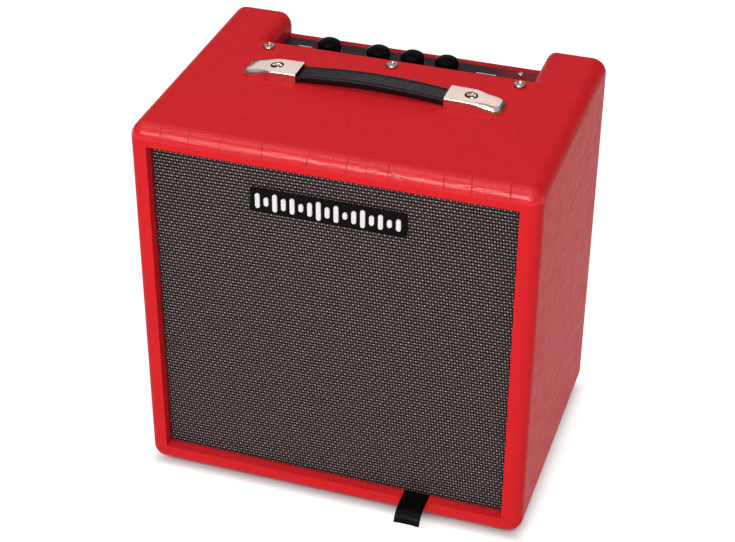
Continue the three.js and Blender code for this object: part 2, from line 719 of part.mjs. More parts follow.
function addSpeaker(parent) {
  const speaker = group(parent, 0, BAFFLE_BACK, SPEAKER.height);
  const around = (profile) => turnedBackwards(profile, SPEAKER.segments);
  add(speaker, "speaker_gasket", around(ring(116, 129, GAP, 2.2)), "paper");
  add(speaker, "speaker_surround", surround(), "paper");
  add(speaker, "speaker_basket", basket(), "blackSteel");
  add(speaker, "speaker_cone", coneBody(), "paper");
  add(speaker, "speaker_dust_cap", dustCap(), "paper");
  add(speaker, "voice_coil", around(ring(24.6, 25.3, 43, 75)), "copper");
  add(speaker, "speaker_spider", spider(), "paper");
  add(speaker, "magnet_top_plate", around(ring(26.8, 60, 63.9, 69.9)), "steel");
  add(speaker, "speaker_magnet", around(ring(32, 61, 70.2, 86.2)), "ferrite");
  add(speaker, "magnet_back_plate", backPlate(), "steel");
  add(speaker, "speaker_terminal", speakerTerminal(), "board");
}

function addChassis(parent) {
  const chassis = group(parent, 0, 0, PANEL_TOP);
  add(chassis, "control_panel", controlPanel(), "panel");
  add(chassis, "chassis_tray", chassisTray(), "steel");
  add(chassis, "circuit_board", box(-92, 62, 200, 252, -13.4, -11.8), "board_green");
  add(chassis, "filter_capacitor", rod(9, -38, -13.7), "plastic", 25, 226, 0);
  add(chassis, "transformer_core", transformerCore(), "steel", 98, 226, 0);
  add(chassis, "transformer_coil", transformerCoil(), "copper", 98, 226, 0);
  add(chassis, "heatsink", heatsink(), "aluminium", -22, 226, 0);
  KNOB_NAMES.forEach((name, i) => {
    add(chassis, `${name}_potentiometer`, potentiometer(), "steel", KNOB_X[i], KNOB.row, 0);
    add(chassis, `${name}_knob`, knob(), "plastic", KNOB_X[i], KNOB.row, 0);
  });
  add(chassis, "input_jack", inputJack(), "plastic", -112, CONTROL_ROW, 0);
  add(chassis, "phones_jack", phonesJack(), "plastic", 78, CONTROL_ROW, 0);
  add(chassis, "voicing_switch", buttonSwitch(), "plastic", -50, CONTROL_ROW, 0);
  add(chassis, "voicing_button", rod(3.9, -6.2, 5.2), "plastic", -50, CONTROL_ROW, 0);
  add(chassis, "power_lamp", powerLamp(), "lamp", 100, CONTROL_ROW, 0);
  add(chassis, "panel_screw", crossScrew(3, 2.2, 1.4, 5), "nickel", 110, 250, 0);
  add(chassis, "mains_inlet", mainsInlet(), "plastic");
  add(chassis, "power_switch_housing", switchHousing(), "plastic");
  add(chassis, "power_rocker", switchRocker(), "plastic", ROCKER.x, ROCKER.pivotY, -INLET.below);
}

function addHandle(parent) {
  const handle = group(parent, HANDLE.x, HANDLE.y, CABINET.height);
  const hinge = STRAP.grip + 0.6;
  add(handle, "handle_cap_right", handleCap(), "nickel");
  add(handle, "handle_cap_left", handleCap().rotateZ(Math.PI), "nickel");
  for (const [side, sign] of [["left", -1], ["right", 1]]) {
    const screw = crossScrew(4.8, 2.8, 2.2, 22);
    add(handle, `handle_screw_${side}`, screw, "nickel", sign * HANDLE.screw, 0, 4.2);
  }
  add(handle, "strap_grip", strapPiece(-STRAP.grip, STRAP.grip, 0), "rubber");
  add(handle, "strap_right", strapPiece(hinge, STRAP.end, 1), "rubber");
  add(handle, "strap_left", strapPiece(hinge, STRAP.end, 1).rotateZ(Math.PI), "rubber");
}

addCabinet(amplifier);
addGrille(amplifier);
addSpeaker(amplifier);
addChassis(amplifier);
addHandle(amplifier);

const extent = new THREE.Box3().setFromObject(amplifier);
amplifier.position.set(0, -(extent.min.y + extent.max.y) / 2, FOOT.height);

export default amplifier;
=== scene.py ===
"""Looks for the guitar combo amplifier: vinyl covering, woven grille, strap handle, controls,
loudspeaker and studio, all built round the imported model.

Helpers draw in cabinet millimetres: x from the middle to the right, y backwards from the front
plane, z up from the cabinet's underside. at() turns such a point into the shared frame's metres.
"""
import math

import bmesh
import bpy
from mathutils import Matrix, Vector


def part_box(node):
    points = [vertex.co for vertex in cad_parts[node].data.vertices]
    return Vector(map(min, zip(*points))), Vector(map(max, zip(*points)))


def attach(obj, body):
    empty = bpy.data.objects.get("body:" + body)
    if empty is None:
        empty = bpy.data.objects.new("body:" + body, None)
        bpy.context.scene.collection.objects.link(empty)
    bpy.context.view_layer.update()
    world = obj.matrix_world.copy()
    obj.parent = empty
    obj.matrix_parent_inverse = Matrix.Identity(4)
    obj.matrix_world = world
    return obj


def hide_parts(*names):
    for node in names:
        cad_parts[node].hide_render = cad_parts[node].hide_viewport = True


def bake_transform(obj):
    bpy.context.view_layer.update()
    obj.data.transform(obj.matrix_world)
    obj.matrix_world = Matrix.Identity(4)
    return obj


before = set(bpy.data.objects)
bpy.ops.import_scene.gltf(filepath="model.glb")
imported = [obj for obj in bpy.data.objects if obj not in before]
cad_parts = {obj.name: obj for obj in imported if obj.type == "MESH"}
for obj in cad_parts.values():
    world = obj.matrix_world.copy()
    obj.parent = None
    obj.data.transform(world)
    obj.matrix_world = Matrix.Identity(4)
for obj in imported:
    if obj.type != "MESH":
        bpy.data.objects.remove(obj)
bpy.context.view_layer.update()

# ---- places and sizes

MM = 0.001
PANEL_LOW, PANEL_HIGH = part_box("side_panel_left")
FRONT, UNDERSIDE = PANEL_LOW[1], PANEL_LOW[2]
HALF_WIDTH = -PANEL_LOW[0] / MM
HEIGHT = (PANEL_HIGH[2] - UNDERSIDE) / MM
DEPTH = (PANEL_HIGH[1] - FRONT) / MM
OPENING_HALF = -PANEL_HIGH[0] / MM
BOTTOM_BOARD = (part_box("bottom_panel")[1][2] - UNDERSIDE) / MM
CEILING = HEIGHT - 19.2
EDGE_RADIUS = 14.3
BACK_EDGE_RADIUS = 3.0
RECESS_FRONT = 197.0
RECESS_HALF = 130.5
RECESS_CORNER = 10.0
CHEEK_DEPTH = 45.0
PANEL_TOP = HEIGHT - 22.4
BAFFLE_BACK = (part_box("front_baffle")[1][1] - FRONT) / MM
SPEAKER_HEIGHT = 178.0
KNOBS = ("gain", "tone", "reverb", "volume")
WEAVE_COLUMN, WEAVE_ROW = 2.66 * MM, 3.355 * MM
FRONT_BOARD_DEPTH = 18.0  # how far the vinyl turns in behind the front edge
SHARP_ANGLE = 34.0


def at(x, y, z):
    """A point in cabinet millimetres, as metres in the shared frame."""
    return Vector((x * MM, FRONT + y * MM, UNDERSIDE + z * MM))


def cabinet_box(node):
    """A CAD node's lowest and highest corners, in cabinet millimetres."""
    return tuple(Vector((x / MM, (y - FRONT) / MM, (z - UNDERSIDE) / MM)) for x, y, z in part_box(node))


def middle_of(node):
    low, high = cabinet_box(node)
    return (low + high) / 2


# ---- node materials


class Nodes:
    """A node tree, built with short calls that return sockets."""

    def __init__(self, tree, space):
        self.tree = tree
        self.where = tree.nodes.new("ShaderNodeTexCoord").outputs[space]

    def wire(self, socket, value):
        if isinstance(value, bpy.types.NodeSocket):
            self.tree.links.new(value, socket)
        else:
            socket.default_value = value

    def node(self, kind, inputs, **properties):
        made = self.tree.nodes.new("ShaderNode" + kind)
        for name, value in properties.items():
            setattr(made, name, value)
        for key, value in inputs.items():
            self.wire(made.inputs[key], value)
        return made

    def maths(self, operation, *values):
        inputs = dict(enumerate(values))
        return self.node("Math", inputs, operation=operation).outputs[0]

    def weighted_sum(self, *terms):
        """The sum of sockets, each times its weight."""
        total = 0.0
        for value, weight in terms:
            total = self.maths("MULTIPLY_ADD", value, weight, total)
        return total

    def axes(self):
        """The x, y and z of the place."""
        return tuple(self.node("SeparateXYZ", {"Vector": self.where}).outputs)

    def turned(self, rotation=(0, 0, 0), scale=(1, 1, 1), vector=None):
        angles = tuple(math.radians(angle) for angle in rotation)
        inputs = {"Vector": vector or self.where, "Rotation": angles, "Scale": scale}
        return self.node("Mapping", inputs).outputs[0]

    def noise(self, scale, detail=2.0, vector=None, roughness=0.5):
        inputs = {"Vector": vector or self.where, "Scale": scale, "Detail": detail,
                  "Roughness": roughness}
        return self.node("TexNoise", inputs).outputs[0]

    def warped(self, scale, amount):
        """The place, pushed about by noise."""
        push = self.node("TexNoise", {"Vector": self.where, "Scale": scale}).outputs[1]
        centred = self.node("VectorMath", {0: push, 1: (0.5, 0.5, 0.5)}, operation="SUBTRACT")
        spread = self.node("VectorMath", {0: centred.outputs[0], "Scale": amount}, operation="SCALE")
        total = self.node("VectorMath", {0: self.where, 1: spread.outputs[0]}, operation="ADD")
        return total.outputs[0]

    def distance_to_edge(self, inputs, **properties):
        """How far a point is from the edge of its Voronoi cell."""
        made = self.node("TexVoronoi", inputs, feature="DISTANCE_TO_EDGE", **properties)
        return made.outputs["Distance"]

    def cell_edges(self, vector, scale, width):
        """0 on the lines between Voronoi cells and 1 away from them."""
        return self.ranged(self.distance_to_edge({"Vector": vector, "Scale": scale}), 0.0, width)

    def ranged(self, value, low, high, to_low=0.0, to_high=1.0):
        inputs = {"Value": value, "From Min": low, "From Max": high,
                  "To Min": to_low, "To Max": to_high}
        return self.node("MapRange", inputs, interpolation_type="SMOOTHSTEP").outputs[0]

    def mixed_value(self, factor, first, second):
        """A blend of two numbers."""
        return self.node("Mix", {0: factor, 2: first, 3: second}, data_type="FLOAT").outputs[0]

    def mixed(self, factor, first, second):
        """A blend of two colours."""
        inputs = {0: factor}
        for key, color in ((6, first), (7, second)):
            inputs[key] = (*color, 1.0) if isinstance(color, tuple) else color
        return self.node("Mix", inputs, data_type="RGBA").outputs[2]


class Look(Nodes):
    """A node material."""

    def __init__(self, name, roughness=0.5, metallic=0.0, specular=0.5):
        self.material = bpy.data.materials.new(name)
        self.material.use_nodes = True
        super().__init__(self.material.node_tree, "Object")
        self.surface = self.tree.nodes["Principled BSDF"]
        self.set("Roughness", roughness)
        self.set("Metallic", metallic)
        self.set("Specular IOR Level", specular)

    def set(self, socket, value):
        self.wire(self.surface.inputs[socket], value)

    def relief(self, height, distance, strength=1.0):
        """Bumps the surface, and returns the bumped normal."""
        inputs = {"Height": height, "Distance": distance, "Strength": strength}
        bump = self.node("Bump", inputs).outputs[0]
        self.set("Normal", bump)
        return bump


def shade(color, factor):
    return tuple(channel * factor for channel in color)


def worn(name, color, roughness, metallic=0.0, grain=900.0, relief=0.00004, blotch=18.0,
         spread=0.12, specular=0.5):
    """A plain material's look: fine grain, blotches of shade and uneven gloss."""
    look = Look(name, metallic=metallic, specular=specular)
    patches = look.noise(blotch, 4.0)
    look.set("Base Color", look.mixed(patches, shade(color, 1 - spread), shade(color, 1 + spread)))
    low, high = max(roughness - 0.07, 0.02), min(roughness + 0.09, 1.0)
    look.set("Roughness", look.ranged(look.noise(blotch * 3.1, 3.0), 0.3, 0.7, low, high))
    look.relief(look.noise(grain, 3.0), relief)
    return look.material


def front_edge(look, y, z):
    """1 on the rounded edge between the cabinet's front and its top, and 0 elsewhere."""
    forward = look.ranged(y, at(0, 10, 0).y, at(0, 14, 0).y, 1.0, 0.0)
    high = look.ranged(z, at(0, 0, HEIGHT - 14).z, at(0, 0, HEIGHT - 9).z)
    return look.maths("MULTIPLY", forward, high)


def vinyl_look(name, red):
    """Red vinyl embossed like hide. Where it is stretched round the top's front edge it is glossier,
    with fine strands along the edge and short tucks across it."""
    look = Look(name, specular=0.011)
    x, y, z = look.axes()
    bent = look.warped(14.0, 0.022)
    patchy = look.ranged(look.noise(17.0, 3.0), 0.44, 0.60)
    creases = look.cell_edges(look.turned((25, 35, 20), (1.0, 0.40, 0.8), bent), 44.0, 0.040)
    faint = look.cell_edges(look.turned((-40, 15, -55), (1.0, 0.3, 1.0), bent), 70.0, 0.03)
    wrinkles = look.noise(210.0, 5.0, look.turned((20, 60, 35), (1.0, 0.16, 0.5), bent), 0.62)
    grain = look.noise(1900.0)
    depth = look.mixed_value(patchy, 1.0, creases)
    edge = front_edge(look, y, z)
    uneven = look.maths("MULTIPLY_ADD", look.noise(13.0, 0.0), 0.03, x)
    tucks = look.distance_to_edge({"W": uneven, "Scale": 27.0}, voronoi_dimensions="1D")
    tucks = look.mixed_value(edge, 1.0, look.ranged(tucks, 0.0, 0.022))
    strands = look.noise(700.0, 3.0, look.turned(scale=(0.07, 1.0, 1.0)), 0.6)
    strands = look.maths("MULTIPLY", strands, edge)
    height = look.weighted_sum((depth, 2.0), (faint, 0.35), (wrinkles, 0.75), (grain, 0.22),
                               (strands, 3.4), (tucks, 3.0))
    bump = look.relief(height, 0.00010, 0.8)
    tone = look.mixed(look.noise(70.0, 5.0), shade(red, 0.91), shade(red, 1.09))
    # Painted highlight along sparse fine crease lines, and painted shade in the deeper creases.
    painted_crease_highlight = look.mixed_value(look.ranged(look.noise(9.0), 0.46, 0.62), 1.0, faint)
    tone = look.mixed(painted_crease_highlight, shade(red, 1.06), tone)
    tone = look.mixed(depth, shade(red, 0.92), tone)
    # Painted shade: the tucks across the front edge are painted darker.
    look.set("Base Color", look.mixed(tucks, shade(red, 0.62), tone))
    look.set("Roughness", look.ranged(wrinkles, 0.3, 0.7, 0.28, 0.36))
    look.set("Coat Weight", look.maths("MULTIPLY", edge, 0.60))
    look.set("Coat Roughness", 0.22)
    look.set("Coat Normal", bump)
    return look.material


def board_look(name, light, dark):
    """Plywood or painted board: long streaks along the grain."""
    look = Look(name, 0.75)
    streaks = look.noise(160.0, 6.0, look.turned(scale=(3.0, 1.0, 0.15)), 0.65)
    look.set("Base Color", look.mixed(look.ranged(streaks, 0.35, 0.65), dark, light))
    look.relief(streaks, 0.0002, 0.6)
    return look.material


def weave_look():
    """Grille cloth: a grid of raised knots in rows, every other one silver."""
    look = Look("grille_weave", specular=0.14)
    x, _, z = look.axes()
    columns = look.maths("DIVIDE", look.maths("MULTIPLY_ADD", z, 0.10, x), WEAVE_COLUMN)
    rows = look.maths("DIVIDE", z, WEAVE_ROW)
    column, row = look.maths("FLOOR", columns), look.maths("FLOOR", rows)
    parity = look.maths("FLOORED_MODULO", look.maths("ADD", column, row), 2.0)
    cell = look.node("CombineXYZ", {0: column, 1: row}).outputs[0]
    chance = look.node("TexWhiteNoise", {"Vector": cell}).outputs["Value"]
    u = look.maths("SUBTRACT", look.maths("FRACT", columns), 0.5)
    v = look.maths("SUBTRACT", look.maths("FRACT", rows), 0.5)
    across, along = look.maths("DIVIDE", u, 0.30), look.maths("DIVIDE", v, 0.22)
    square = look.weighted_sum((across, across), (along, along))
    ragged = look.maths("MULTIPLY_ADD", look.noise(900.0), 0.9, look.maths("SQRT", square))
    knot = look.ranged(ragged, 0.85, 1.75, 1.0, 0.0)
    silver = look.maths("MULTIPLY_ADD", parity, 0.62, look.maths("MULTIPLY_ADD", chance, 0.22, 0.16))
    shine = look.maths("MULTIPLY", knot, silver)
    wave_u = look.maths("COSINE", look.maths("MULTIPLY", u, math.pi))
    wave_v = look.maths("COSINE", look.maths("MULTIPLY", v, math.pi))
    strand = look.maths("MULTIPLY", look.maths("POWER", wave_u, 0.45), look.maths("POWER", wave_v, 1.3))
    threads = look.noise(3200.0, vector=look.turned(scale=(0.25, 1.0, 1.0)))
    # Painted shade: the base colour is darkest in the gaps between threads, lighter on their crowns.
    dark = look.mixed(look.ranged(strand, 0.1, 0.9), (0.005, 0.003, 0.003), (0.050, 0.032, 0.031))
    look.set("Base Color", look.mixed(shine, dark, (0.44, 0.36, 0.355)))
    look.set("Roughness", look.ranged(shine, 0, 1, 0.85, 0.45))
    look.relief(look.weighted_sum((strand, 1.0), (knot, 0.35), (threads, 0.12)), 0.0008, 0.9)
    return look.material


def nickel_look():
    look = Look("polished_nickel", metallic=1.0)
    haze = look.noise(60.0, 4.0)
    look.set("Base Color", look.mixed(haze, (0.78, 0.60, 0.53), (0.88, 0.72, 0.65)))
    look.set("Roughness", look.ranged(haze, 0.35, 0.7, 0.07, 0.19))
    look.relief(look.noise(900.0, vector=look.turned((0, 0, 12), (0.05, 1.0, 1.0))), 0.000008, 0.6)
    return look.material


def strap_look():
    look = Look("strap_rubber", specular=0.15)
    rubbed = look.noise(30.0, 4.0)
    look.set("Base Color", look.mixed(rubbed, (0.006, 0.003, 0.005), (0.010, 0.005, 0.008)))
    look.set("Roughness", look.ranged(rubbed, 0.3, 0.7, 0.16, 0.24))
    look.relief(look.noise(1300.0, 3.0), 0.00001)
    return look.material


def panel_look():
    """Satin charcoal print that fades to a dull red at its right end."""
    look = Look("panel_print_base", 0.42, specular=0.04)
    streaks = look.noise(26.0, 3.0, look.turned((0, 0, 38), (1.0, 0.25, 1.0)))
    along = look.maths("MULTIPLY_ADD", streaks, 0.05, look.axes()[0])
    fade = look.ranged(along, 0.096, 0.136, 0.0, 0.80)
    charcoal = look.mixed(look.noise(40.0), (0.018, 0.011, 0.014), (0.023, 0.015, 0.018))
    look.set("Base Color", look.mixed(fade, charcoal, (0.17, 0.010, 0.016)))
    look.relief(look.noise(2200.0), 0.00002)
    return look.material


def ribbon_look():
    look = Look("satin_ribbon", specular=0.07)
    ribs = look.noise(2600.0, 1.0, look.turned(scale=(1.0, 0.08, 0.08)))
    look.set("Base Color", look.mixed(ribs, (0.001, 0.001, 0.001), (0.003, 0.002, 0.002)))
    look.set("Roughness", look.ranged(ribs, 0.2, 0.8, 0.34, 0.50))
    look.relief(ribs, 0.00008)
    return look.material


def floor_look():
    """A pale floor that glows like a light table, with a painted contact shadow round the amplifier."""
    look = Look("pale_floor_painted_shadow", 0.9, specular=0.1)
    look.set("Base Color", look.mixed(look.noise(0.8), (0.415,) * 3, (0.425,) * 3))
    x, y, _ = look.axes()
    middle, half = FRONT + DEPTH * MM / 2, DEPTH * MM / 2
    aside = look.maths("SUBTRACT", look.maths("ABSOLUTE", x), HALF_WIDTH * MM - 0.003)
    aside = look.maths("MULTIPLY", aside, 0.75)
    beyond = look.maths("ABSOLUTE", look.maths("SUBTRACT", y, middle))
    beyond = look.maths("SUBTRACT", beyond, half - 0.006)
    clear = look.maths("SMOOTH_MAX", aside, beyond, 0.01)
    look.set("Emission Color", (1.0, 1.0, 1.0, 1.0))
    # Painted shadow: the glow is nothing under the amplifier and rises to full a little way outside it.
    look.set("Emission Strength", look.ranged(clear, -0.012, 0.012, 0.0, 0.76))
    return look.material


LOOKS = {
    "vinyl": vinyl_look("red_vinyl", (0.51, 0.014, 0.018)),
    # Painted shade: a darker copy of the red vinyl for the rear boards.
    "rear_vinyl_painted_shade": vinyl_look("rear_board_vinyl_painted_shade", (0.36, 0.008, 0.012)),
    "plywood": board_look("plywood_inside", (0.50, 0.33, 0.19), (0.34, 0.20, 0.10)),
    "black_board": board_look("black_painted_board", (0.020, 0.019, 0.019), (0.008, 0.008, 0.008)),
    "weave": weave_look(),
    "nickel": nickel_look(),
    "screw": worn("screw_plating", (0.46, 0.40, 0.38), 0.24, 1.0, relief=0.00001),
    "strap": strap_look(),
    "panel": panel_look(),
    "ribbon": ribbon_look(),
    "knob": worn("satin_knob", (0.003, 0.002, 0.002), 0.28, grain=1800, relief=0.00002, specular=0.03),
    "plastic": worn("black_moulding", (0.014, 0.014, 0.015), 0.48, grain=1500),
    "zinc": worn("zinc_sheet", (0.50, 0.50, 0.48), 0.34, 1.0, grain=240, relief=0.00002, blotch=60),
    "powder": worn("black_powder_coat", (0.02, 0.02, 0.021), 0.45, grain=1400, relief=0.00008),
    "rubber": worn("foot_rubber", (0.016, 0.016, 0.017), 0.8, grain=1200, relief=0.0001),
    "paper": worn("cone_paper", (0.030, 0.027, 0.025), 0.88, grain=700, relief=0.00018),
    "doped": worn("doped_cloth", (0.020, 0.018, 0.017), 0.5, grain=1100, relief=0.00012),
    "spider": worn("spider_cloth", (0.42, 0.27, 0.12), 0.85, grain=1600, relief=0.0001),
    "fibre": worn("fibre_gasket", (0.11, 0.085, 0.065), 0.9, grain=600, relief=0.0001),
    "ferrite": worn("ferrite", (0.035, 0.035, 0.037), 0.55, grain=500, relief=0.00008),
    "copper": worn("copper_winding", (0.55, 0.22, 0.09), 0.35, 0.8, grain=2000),
    "circuit": worn("solder_mask", (0.012, 0.12, 0.04), 0.35, grain=300, relief=0.00006),
    "aluminium": worn("extruded_aluminium", (0.60, 0.61, 0.63), 0.35, 1.0, grain=1000),
    "lamp": worn("red_lens", (0.55, 0.015, 0.012), 0.12, grain=800, relief=0.00001),
    "white": worn("white_enamel", (0.60, 0.57, 0.57), 0.30, grain=1300, relief=0.00002, spread=0.04),
    "backing": worn("badge_backing", (0.003, 0.002, 0.002), 0.42, grain=1500, specular=0.04),
    "brass": worn("brass_pin", (0.62, 0.55, 0.42), 0.25, 1.0, relief=0.00001),
    "floor": floor_look(),
}

# ---- mesh tools


def placed(name, data):
    """A new object in the scene."""
    made = bpy.data.objects.new(name, data)
    bpy.context.scene.collection.objects.link(made)
    return made


def piece_from(name, points, faces):
    """A smooth-shaded object from cabinet millimetres, with its faces turned outwards."""
    mesh = bpy.data.meshes.new(name)
    mesh.from_pydata([at(*point) for point in points], [], faces)
    work = bmesh.new()
    work.from_mesh(mesh)
    bmesh.ops.remove_doubles(work, verts=work.verts, dist=1e-7)
    bmesh.ops.recalc_face_normals(work, faces=work.faces)
    work.to_mesh(mesh)
    work.free()
    mesh.shade_smooth()
    return placed(name, mesh)


def skinned(name, rings, open_end=False):
    """Joins rings of points that have the same count, and closes the ends, or only the first."""
    count = len(rings[0])
    last = (len(rings) - 1) * count
    faces = []
    for start in range(0, last, count):
        for i in range(count):
            a, b = start + i, start + (i + 1) % count
            faces.append((a, b, b + count, a + count))
    faces.append(tuple(range(count)))
    if not open_end:
        faces.append(tuple(range(last, last + count)))
    return piece_from(name, [point for ring in rings for point in ring], faces)


def lathe(name, profile, centre, segments, axis="z", wave=None):
    """Turns [radius, height] points about an axis through centre. wave(angle, radius, height)
    may move a point in or out."""
    points, faces, rows = [], [], []
    for radius, height in profile:
        row = []
        for i in range(1 if radius < 1e-6 else segments):
            angle = 2 * math.pi * i / segments
            reach = radius + (wave(angle, radius, height) if wave else 0.0)
            u, v = reach * math.cos(angle), reach * math.sin(angle)
            x, y, z = (u, v, height) if axis == "z" else (u, height, v)
            row.append(len(points))
            points.append((centre[0] + x, centre[1] + y, centre[2] + z))
        rows.append(row)
    for near, far in zip(rows, rows[1:]):
        for i in range(segments):
            corners = [near[i % len(near)], near[(i + 1) % len(near)],
                       far[(i + 1) % len(far)], far[i % len(far)]]
            faces.append(tuple(dict.fromkeys(corners)))
    return piece_from(name, points, [face for face in faces if len(face) > 2])


def arc(u, v, radius, start, end, steps):
    made = []
    for i in range(steps + 1):
        angle = math.radians(start + (end - start) * i / steps)
        made.append((u + radius * math.cos(angle), v + radius * math.sin(angle)))
    return made


def rounded_rectangle(u0, u1, v0, v1, radius, steps):
    left, right, low, high = u0 + radius, u1 - radius, v0 + radius, v1 - radius
    outline = []
    for i, (u, v) in enumerate(((right, high), (left, high), (left, low), (right, low))):
        outline += arc(u, v, radius, 90 * i, 90 * i + 90, steps)
    return outline


def block(name, x0, x1, y0, y1, z0, z1):
    return skinned(name, [[(x0, y, z0), (x1, y, z0), (x1, y, z1), (x0, y, z1)] for y in (y0, y1)])


def plate(name, outline, y0, y1):
    """An (x, z) outline, extruded backwards from y0 to y1."""
    return skinned(name, [[(u, y, v) for u, v in outline] for y in (y0, y1)])


def evaluated_mesh(thing):
    """An object's mesh with its modifiers applied, or the mesh of a text."""
    graph = bpy.context.evaluated_depsgraph_get()
    return bpy.data.meshes.new_from_object(thing.evaluated_get(graph))


def carved(piece, *cutters, operation="DIFFERENCE"):
    """Cuts the cutters out of a piece, or joins them to it, and removes them."""
    for cutter in cutters:
        change = piece.modifiers.new("carve", "BOOLEAN")
        change.operation = operation
        change.solver = "EXACT"
        change.object = cutter
    mesh = evaluated_mesh(piece)
    piece.modifiers.clear()
    piece.data = mesh
    piece.data.shade_smooth()
    for cutter in cutters:
        bpy.data.objects.remove(cutter)
    return piece


def sharpened(piece, angle=SHARP_ANGLE):
    piece.data.set_sharp_from_angle(angle=math.radians(angle))
    return piece


def crisp(piece, bevel=0.0):
    """Rounds sharp edges by bevel millimetres, and shades flat faces flat beside them."""
    if bevel:
        change = piece.modifiers.new("bevel", "BEVEL")
        change.width = bevel * MM
        change.segments = 2
        change.limit_method = "ANGLE"
        change.angle_limit = math.radians(SHARP_ANGLE)
    piece.modifiers.new("normals", "WEIGHTED_NORMAL").keep_sharp = True
    return piece


def painted(piece, look):
    piece.data.materials.clear()
    piece.data.materials.append(LOOKS[look])
    return piece


def dressed(piece, look, slot, *nodes, body="cabinet"):
    """Gives a piece its material and body, and hides the CAD nodes that it stands for. Its slot is not
    used.
    """
    painted(piece, look)
    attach(piece, body)
    if nodes:
        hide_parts(*nodes)
    return piece


def dress_node(node, look, bevel=0.0):
    """A carried-over CAD node gets a procedural material and softened edges."""
    piece = painted(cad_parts[node], look)
    if bevel:
        crisp(piece, bevel)


# ---- camera, floor and light


def towards(azimuth, elevation):
    """The direction of an azimuth from the front and an elevation, in degrees."""
    turn, tilt = math.radians(azimuth), math.radians(elevation)
    return Vector((math.sin(turn) * math.cos(tilt), -math.cos(turn) * math.cos(tilt), math.sin(tilt)))


def add_camera():
    """The viewpoint stands to the right of the amplifier's front and looks down on it."""
    azimuth, elevation, roll = 17.92, 33.50, math.radians(0.39)
    back, level = towards(azimuth, elevation), towards(azimuth + 90, 0)
    upright = back.cross(level)
    right = level * math.cos(roll) + upright * math.sin(roll)
    up = upright * math.cos(roll) - level * math.sin(roll)
    data = bpy.data.cameras.new("camera")
    data.lens = 88.09
    data.sensor_width = 36.0
    camera = placed("camera", data)
    camera.matrix_world = Matrix((right, up, back)).transposed().to_4x4()
    camera.location = at(447.4, -1268.5, 1155.6)
    bpy.context.scene.camera = camera


def add_floor():
    mesh = bpy.data.meshes.new("studio_floor")
    reach = 40.0
    corners = [(x * reach, y * reach, 0) for x, y in ((-1, -1), (1, -1), (1, 1), (-1, 1))]
    mesh.from_pydata(corners, [], [(0, 1, 2, 3)])
    painted(placed("studio_floor", mesh), "floor")


def add_softbox(name, azimuth, elevation, distance, size, power):
    """An area light that faces the amplifier."""
    away = towards(azimuth, elevation)
    data = bpy.data.lights.new(name, "AREA")
    data.shape = "RECTANGLE"
    data.size, data.size_y = size
    data.energy = power
    light = placed(name, data)
    light.location = Vector((0, 0, 0.2)) + away * distance
    light.rotation_euler = away.to_track_quat("Z", "Y").to_euler()


def add_studio():
    """A dim room with white overhead: one wide front box, one overhead strip and a card behind."""
    world = bpy.data.worlds.new("studio")
    world.use_nodes = True
    nodes = Nodes(world.node_tree, "Generated")
    room = world.node_tree.nodes["Background"].inputs
    room["Color"].default_value = (1.0, 1.0, 1.0, 1.0)
    nodes.wire(room["Strength"], nodes.ranged(nodes.axes()[2], 0.15, 1.0, 0.07, 0.60))
    bpy.context.scene.world = world
    add_softbox("front_softbox", 1, 39, 2.4, (2.4, 0.3), 54)
    add_softbox("overhead_strip", -10, 80, 2.2, (2.0, 0.09), 8)
    add_softbox("back_card", -162, 29, 2.5, (2.4, 1.2), 6.5)
    bpy.context.scene.view_settings.view_transform = "Standard"


# ---- cabinet


def covered_shell():
    """The four covered boards as one wrapped form: outside rounded, inside square, recess cut."""
    steps = 14
    levels = []
    for run, rise in arc(0, 0, EDGE_RADIUS, 90, 0, steps):
        levels.append((EDGE_RADIUS - rise, EDGE_RADIUS - run))
    for run, rise in arc(0, 0, BACK_EDGE_RADIUS, 0, 90, 5):
        levels.append((DEPTH - BACK_EDGE_RADIUS + rise, BACK_EDGE_RADIUS - run))
    rings = []
    for y, inset in levels:
        radius = max(EDGE_RADIUS - inset, 0.02)
        side = HALF_WIDTH - inset
        outline = rounded_rectangle(-side, side, inset, HEIGHT - inset, radius, steps)
        rings.append([(u, y, v) for u, v in outline])
    shell = skinned("vinyl_covering", rings)
    carved(shell, block("opening", -OPENING_HALF, OPENING_HALF, -5, DEPTH + 5, BOTTOM_BOARD, CEILING))
    cheeks = []
    for side in (-1, 1):
        x0, x1 = sorted((side * (RECESS_HALF - 6), side * (OPENING_HALF + 6)))
        cheeks.append(block("cheek", x0, x1, RECESS_FRONT - RECESS_CORNER, DEPTH - 0.1,
                            HEIGHT - CHEEK_DEPTH, CEILING + 4))
    carved(shell, *cheeks, operation="UNION")
    return carved(shell, recess_cutter())


def recess_cutter():
    """The room over the control panel: upright walls that turn outwards round the cabinet's edges."""
    lip = 1.2
    shoulder = HEIGHT - EDGE_RADIUS
    levels = [(PANEL_TOP - 30.0, 0.0, 0.0)]
    for run, rise in arc(0, 0, EDGE_RADIUS, 0, 84, 14):
        levels.append((shoulder + rise, EDGE_RADIUS - run, 0.0))
    for run, rise in arc(0, 0, lip, 15, 90, 5):
        height = HEIGHT - lip + rise
        over = min((height - shoulder) / EDGE_RADIUS, 1.0)
        side = EDGE_RADIUS * (1 - math.sqrt(max(1 - over ** 2, 0.0)))
        if height > levels[-1][0]:
            levels.append((height, side, lip - run))
    levels.append((HEIGHT + 4.0, EDGE_RADIUS, lip))
    rings = []
    for height, side, front in levels:
        half = RECESS_HALF + side
        corner, y = RECESS_CORNER, RECESS_FRONT - front + RECESS_CORNER
        outline = [(half, DEPTH + 5), (-half, DEPTH + 5),
                   *arc(corner - half, y, corner, 180, 270, 10),
                   *arc(half - corner, y, corner, 270, 360, 10)]
        rings.append([(u, v, height) for u, v in outline])
    return skinned("recess", rings)


